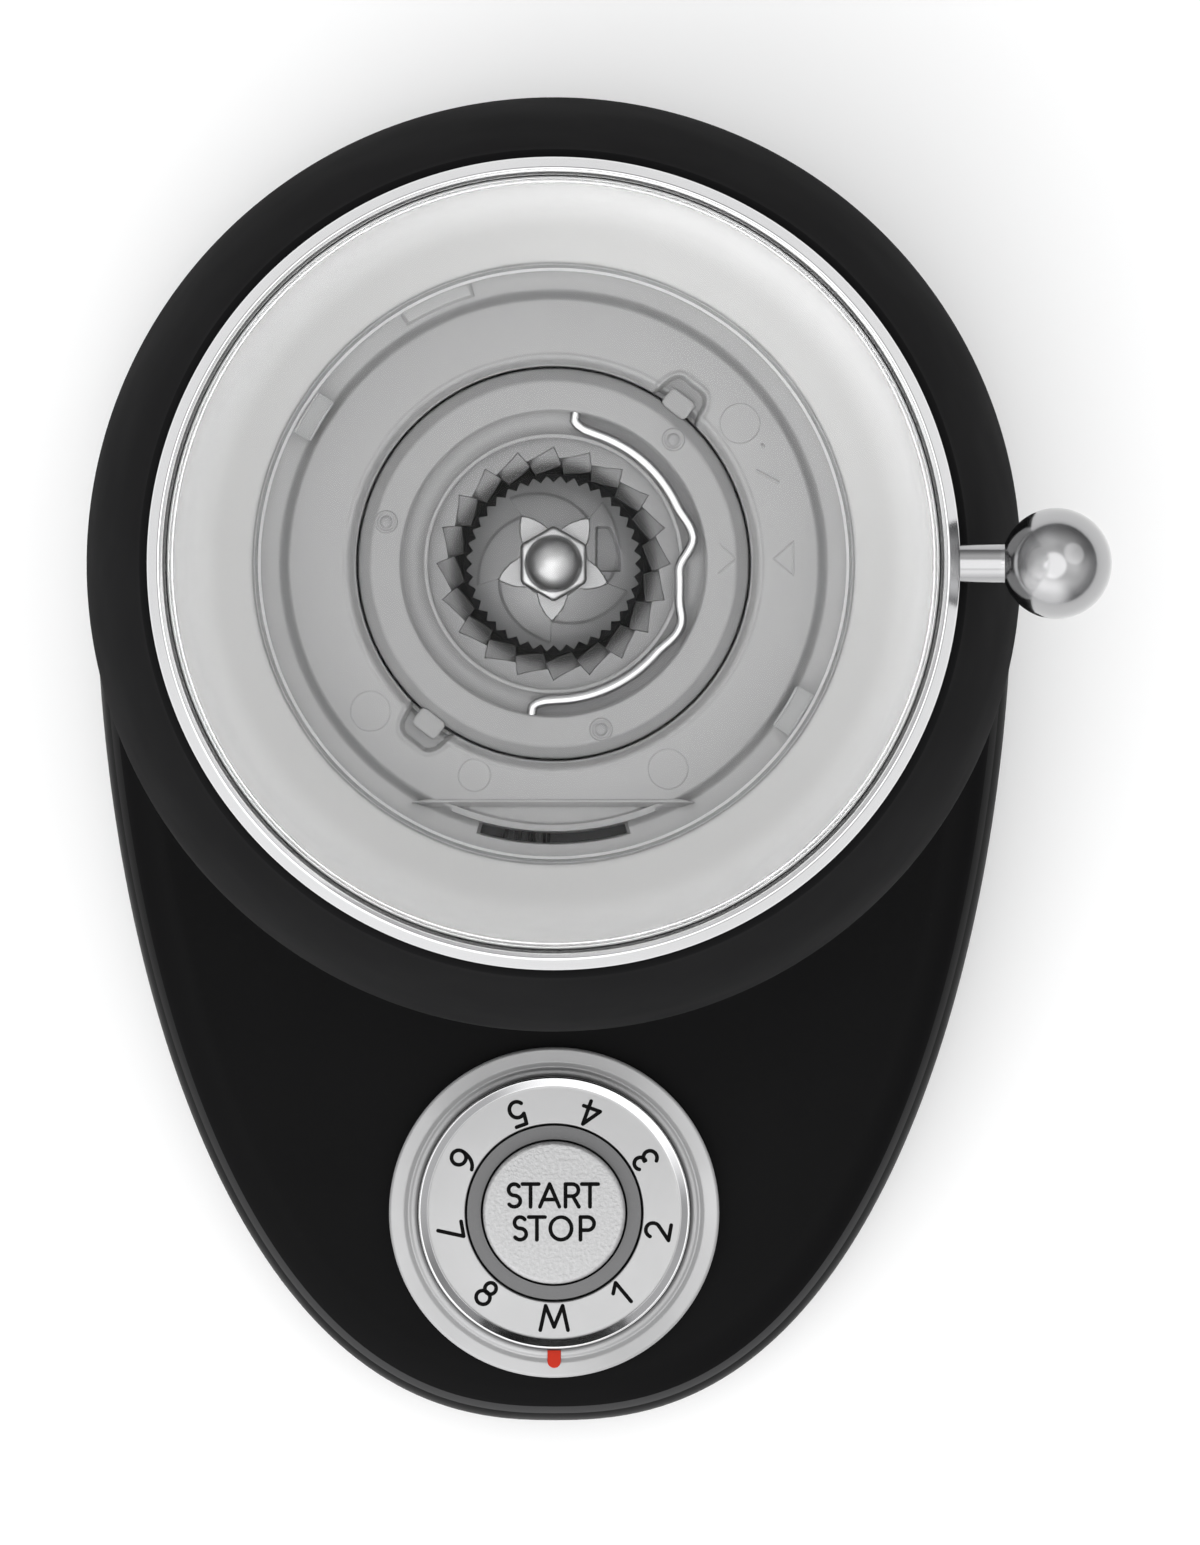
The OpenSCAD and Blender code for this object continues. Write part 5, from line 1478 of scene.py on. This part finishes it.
@dataclass
class Dial:
    """The numbered dial with its bezel, pointer and start button."""

    base: float = 45.0
    bezel_r: float = 30.6
    bezel_in: float = 25.3
    groove_r: float = 26.95
    face: float = 52.7
    face_r: float = 23.4
    in_r: float = 16.5
    rim_r: float = 25.2
    ring_low: float = 46.6
    skirt_low: float = 42.8
    button_r: float = 13.2
    button_in: float = 11.6
    button_top: float = 54.0
    pointer_half: float = 1.25
    figure_r: float = 19.5
    figure_h: float = 4.5
    figure_step: float = 40.0
    letter_h: float = 4.2
    marks: str = "M12345678"

    def bezel(self) -> Shape:
        """A broad flat ring with a bevelled rim, and a groove with sloping sides inside it.

        Returns:
            The bezel.
        """
        r, bore, z = self.bezel_r, self.bezel_in, self.base
        corners = [
            (bore, z), (r, z), (r, z + 4.1), (r - 0.4, z + 4.5), (27.9, z + 4.62), (self.groove_r, z + 4.1),
            (26.4, z + 4.6), (25.8, z + 4.6), (bore, z + 4.2),
        ]
        return lathe(rounded(corners, 0.2, 4), 224)

    def ring(self) -> Tuple[Shape, Array]:
        """The turning ring: a skirt, the flat that carries the figures and a rim that slopes up round it.

        Returns:
            The ring, and which of its faces belong to the polished rim.
        """
        low, skirt, face = self.ring_low, self.skirt_low, self.face
        corners = [
            (self.in_r, low), (19.3, low), (19.3, skirt), (21.3, skirt), (21.3, low), (self.rim_r, low),
            (self.rim_r, face + 0.75), (24.9, face + 1.1), (self.face_r, face), (self.in_r, face),
        ]
        outline = rounded(corners, 0.25, 4)
        r, z = middles(outline).T
        return lathe(outline, 224), np.repeat((r > self.face_r) & (z > face), 224)

    def button(self) -> Shape:
        """A shallow cap with a rounded edge and a stem.

        Returns:
            The button.
        """
        r, bore, top = self.button_r, self.button_in, self.button_top
        corners = [
            (0, 46.2), (2.5, 46.2), (2.5, top - 3), (bore, top - 3), (bore, top - 8),
            (r, top - 8), (r, top - 0.35), (r - 0.5, top), (0, top + 0.12),
        ]
        return lathe(rounded(corners, 0.3, 5, closed=False), 160)

    def pointer(self) -> Shape:
        """A small D on the bezel: a half round towards the front, straight towards the dial.

        Returns:
            The pointer.
        """
        w, z = self.pointer_half, self.base + 4.5
        front, back = w - 28.8, -25.5
        straight = [(x, back) for x in (w, 0.7, 0, -0.7, -w)]
        plan = np.concatenate([arc((0, front), w, 180, 360, 24), straight])
        middle = np.array([0, (front + back) / 2])
        levels = ((1.0, z - 0.5), (1.0, z + 0.45), (0.93, z + 0.6))
        grid = np.stack([lifted(middle + (plan - middle) * k, height) for k, height in levels])
        return ring_shape(grid, np.array([*middle, z - 0.5]), np.array([*middle, z + 0.62]))

    def build(self) -> None:
        """Adds the dial's metal pieces, the pointer and the print."""
        ring, rim = self.ring()
        for name, shape, finish, body, slot, node, second in (
            ("dial_rim", self.bezel(), SATIN, "housing", "satin_metal", "dial_bezel", None),
            ("push_button", self.button(), BLASTED, "button", "satin_metal", "start_button", None),
            ("dial_pointer", self.pointer(), RED, "housing", "red_mark", "pointer_mark", None),
            ("dial_plate", ring, DIAL_FACE, "dial", "satin_metal", "dial_ring", (RING_CHROME, rim)),
        ):
            place(name, shape.moved(0, -DIAL_REACH, 0), finish, body, [node], second)
        pen = Lettering()
        for k, mark in enumerate(self.marks):
            turn = self.figure_step * k - 90
            at = polar(self.figure_r, turn, self.face + 0.02) - [0, DIAL_REACH, 0]
            figure = pen.word(mark, [0.0], self.figure_h).turned(turn + 90).moved(*at)
            place(f"figure_{mark}", figure, INK, "dial")
        for text, steps, y in (
            ("START", (-1.76, -1.04, -0.2, 0.78, 1.58), 3.2),
            ("STOP", (-1.5, -0.76, 0.3, 1.44), -2.9),
        ):
            word = pen.word(text, steps, self.letter_h).moved(0, y - DIAL_REACH, self.button_top + 0.1)
            place(f"word_{text.lower()}", word, INK, "button")


@dataclass
class Jar:
    """The clear container for the grounds."""

    reach: float = 42.0
    low: float = 57.3
    height: float = 104.0
    top_r: float = 40.0
    foot_r: float = 38.0
    wall: float = 2.0
    floor: float = 5.0

    def cup(self) -> Shape:
        """A tapered cup with a rounded foot and rim.

        Returns:
            The cup.
        """
        r, out, top = self.foot_r, self.top_r, self.height
        bore = out - self.wall
        foot = arc((r - 4, 4), 4, -90, 0, 10)
        inner = arc((r - 4, self.floor + 2), 2, 0, -90, 8)
        rim = [(out, top - 0.5), (out - 0.3, top), (bore + 0.3, top), (bore, top - 0.5)]
        profile = np.concatenate([[[0, 0.4], [r - 8, 0.4], [r - 6, 0]], foot, rim, inner, [[0, self.floor]]])
        return lathe(profile, 192).moved(0, -self.reach, self.low)

    def build(self) -> None:
        """Adds the cup."""
        place("grounds_cup", self.cup(), CLEAR, "jar", ["container"])


@dataclass
class Studio:
    """Floor, light and camera."""

    floor_half: float = 6.0
    floor_points: int = 13
    strength: float = 1.5
    camera_z: float = 9.2
    lens: float = 1151.0
    sensor: float = 36.0
    aim: Pair = (-0.0041, 0.01772)
    shift: Pair = (0.01505, -0.06715)

    def floor(self) -> None:
        """Adds a wide pale floor."""
        count = self.floor_points
        side = np.linspace(-self.floor_half, self.floor_half, count)
        points = np.stack(np.broadcast_arrays(side, side[:, None], 0.0), axis=-1).reshape(-1, 3)
        mesh = bpy.data.meshes.new("floor")
        mesh.from_pydata(points, [], grid_quads(count, count, False, False).tolist())
        floor = bpy.data.objects.new("floor", mesh)
        bpy.context.scene.collection.objects.link(floor)
        mesh.materials.append(PALE_FLOOR.material())

    def world(self) -> None:
        """Surrounds the scene with light that is full overhead, faint at the horizon and softly uneven."""
        world = bpy.data.worlds.new("studio")
        bpy.context.scene.world = world
        world.use_nodes = True
        tree = world.node_tree
        way = add_node(tree, "TexCoord", {}).outputs["Generated"]
        height = add_node(tree, "SeparateXYZ", {"Vector": way}).outputs["Z"]
        fade = add_node(tree, "ValToRGB", {"Fac": height})
        stops = fade.color_ramp.elements
        stops[0].position, stops[0].color = 0.0, (0.24, 0.24, 0.245, 1)
        stops[1].position, stops[1].color = 0.72, (1, 1, 1, 1)
        stops.new(0.28).color = (0.4, 0.4, 0.405, 1)
        drift = add_node(tree, "TexNoise", {"Vector": way, "Scale": 1.6, "Detail": 0.0}).outputs["Fac"]
        patch = rescaled(tree, drift, (0.32, 0.6), (0.72, 1.0))
        front = self.toward(tree, way, (-0.45, -0.86, 0.25), (0.55, 0.95), (0.0, 0.85))
        corner = self.toward(tree, way, (0.55, 0.8, 0.25), (0.5, 0.95), (1.0, 0.6))
        light = fade.outputs["Color"]
        for share in (patch, corner):
            scaled = add_node(tree, "VectorMath", {0: light, "Scale": share}, operation="SCALE")
            light = scaled.outputs["Vector"]
        glow = add_node(tree, "VectorMath", {0: light, 1: front}, operation="ADD").outputs["Vector"]
        feed(tree, tree.nodes["Background"], {"Color": glow, "Strength": self.strength})

    def toward(self, tree: Tree, way: Socket, aim: Sequence[float], span: Pair, ends: Pair) -> Socket:
        """Finds how far a direction lies towards an aim, as a value that changes over a span of cosines.

        Args:
            tree: the world's nodes.
            way: the direction.
            aim: a direction of length about one.
            span: cosines where the change starts and ends.
            ends: values at the two ends.

        Returns:
            The value.
        """
        dot = add_node(tree, "VectorMath", {0: way, 1: aim}, operation="DOT_PRODUCT").outputs["Value"]
        return rescaled(tree, dot, span, ends, smooth=True)

    def lamp(self, name: str, at: Sequence[float], size: float, power: float) -> None:
        """Adds a round soft light that faces the grinder.

        Args:
            name: the light's name.
            at: its place in metres.
            size: its width in metres.
            power: its power in watts.
        """
        light = bpy.data.lights.new(name, "AREA")
        light.shape, light.size, light.energy = "DISK", size, power
        lamp = bpy.data.objects.new(name, light)
        bpy.context.scene.collection.objects.link(lamp)
        lamp.location = at
        back = lamp.location.copy()
        back.z -= 0.2
        lamp.rotation_euler = back.to_track_quat("Z", "Y").to_euler()

    def camera(self) -> None:
        """Adds a camera high above the grinder that looks straight down."""
        data = bpy.data.cameras.new("camera")
        data.lens, data.sensor_width = self.lens, self.sensor
        data.clip_end = 50.0
        data.shift_x, data.shift_y = self.shift
        camera = bpy.data.objects.new("camera", data)
        bpy.context.scene.collection.objects.link(camera)
        camera.location = (*self.aim, self.camera_z)
        bpy.context.scene.camera = camera

    def build(self) -> None:
        """Sets the stage."""
        bpy.context.scene.view_settings.view_transform = "Standard"
        self.floor()
        self.world()
        self.lamp("key", (-0.25, -0.15, 2.8), 2.6, 22)
        self.lamp("fill", (1.6, 0.9, 2.2), 2.0, 6)
        self.camera()


def main() -> None:
    """Builds the grinder's pieces and the studio in order."""
    logging.basicConfig(level=logging.INFO, format="%(name)s: %(message)s")
    Studio().build()
    dress_nodes()
    hopper = Hopper()
    for part in (Housing(), Adjuster(), hopper, BurrSet(), Dial(), Jar()):
        part.build()
    Deck().build(hopper)


if __name__ == "__main__":
    main()
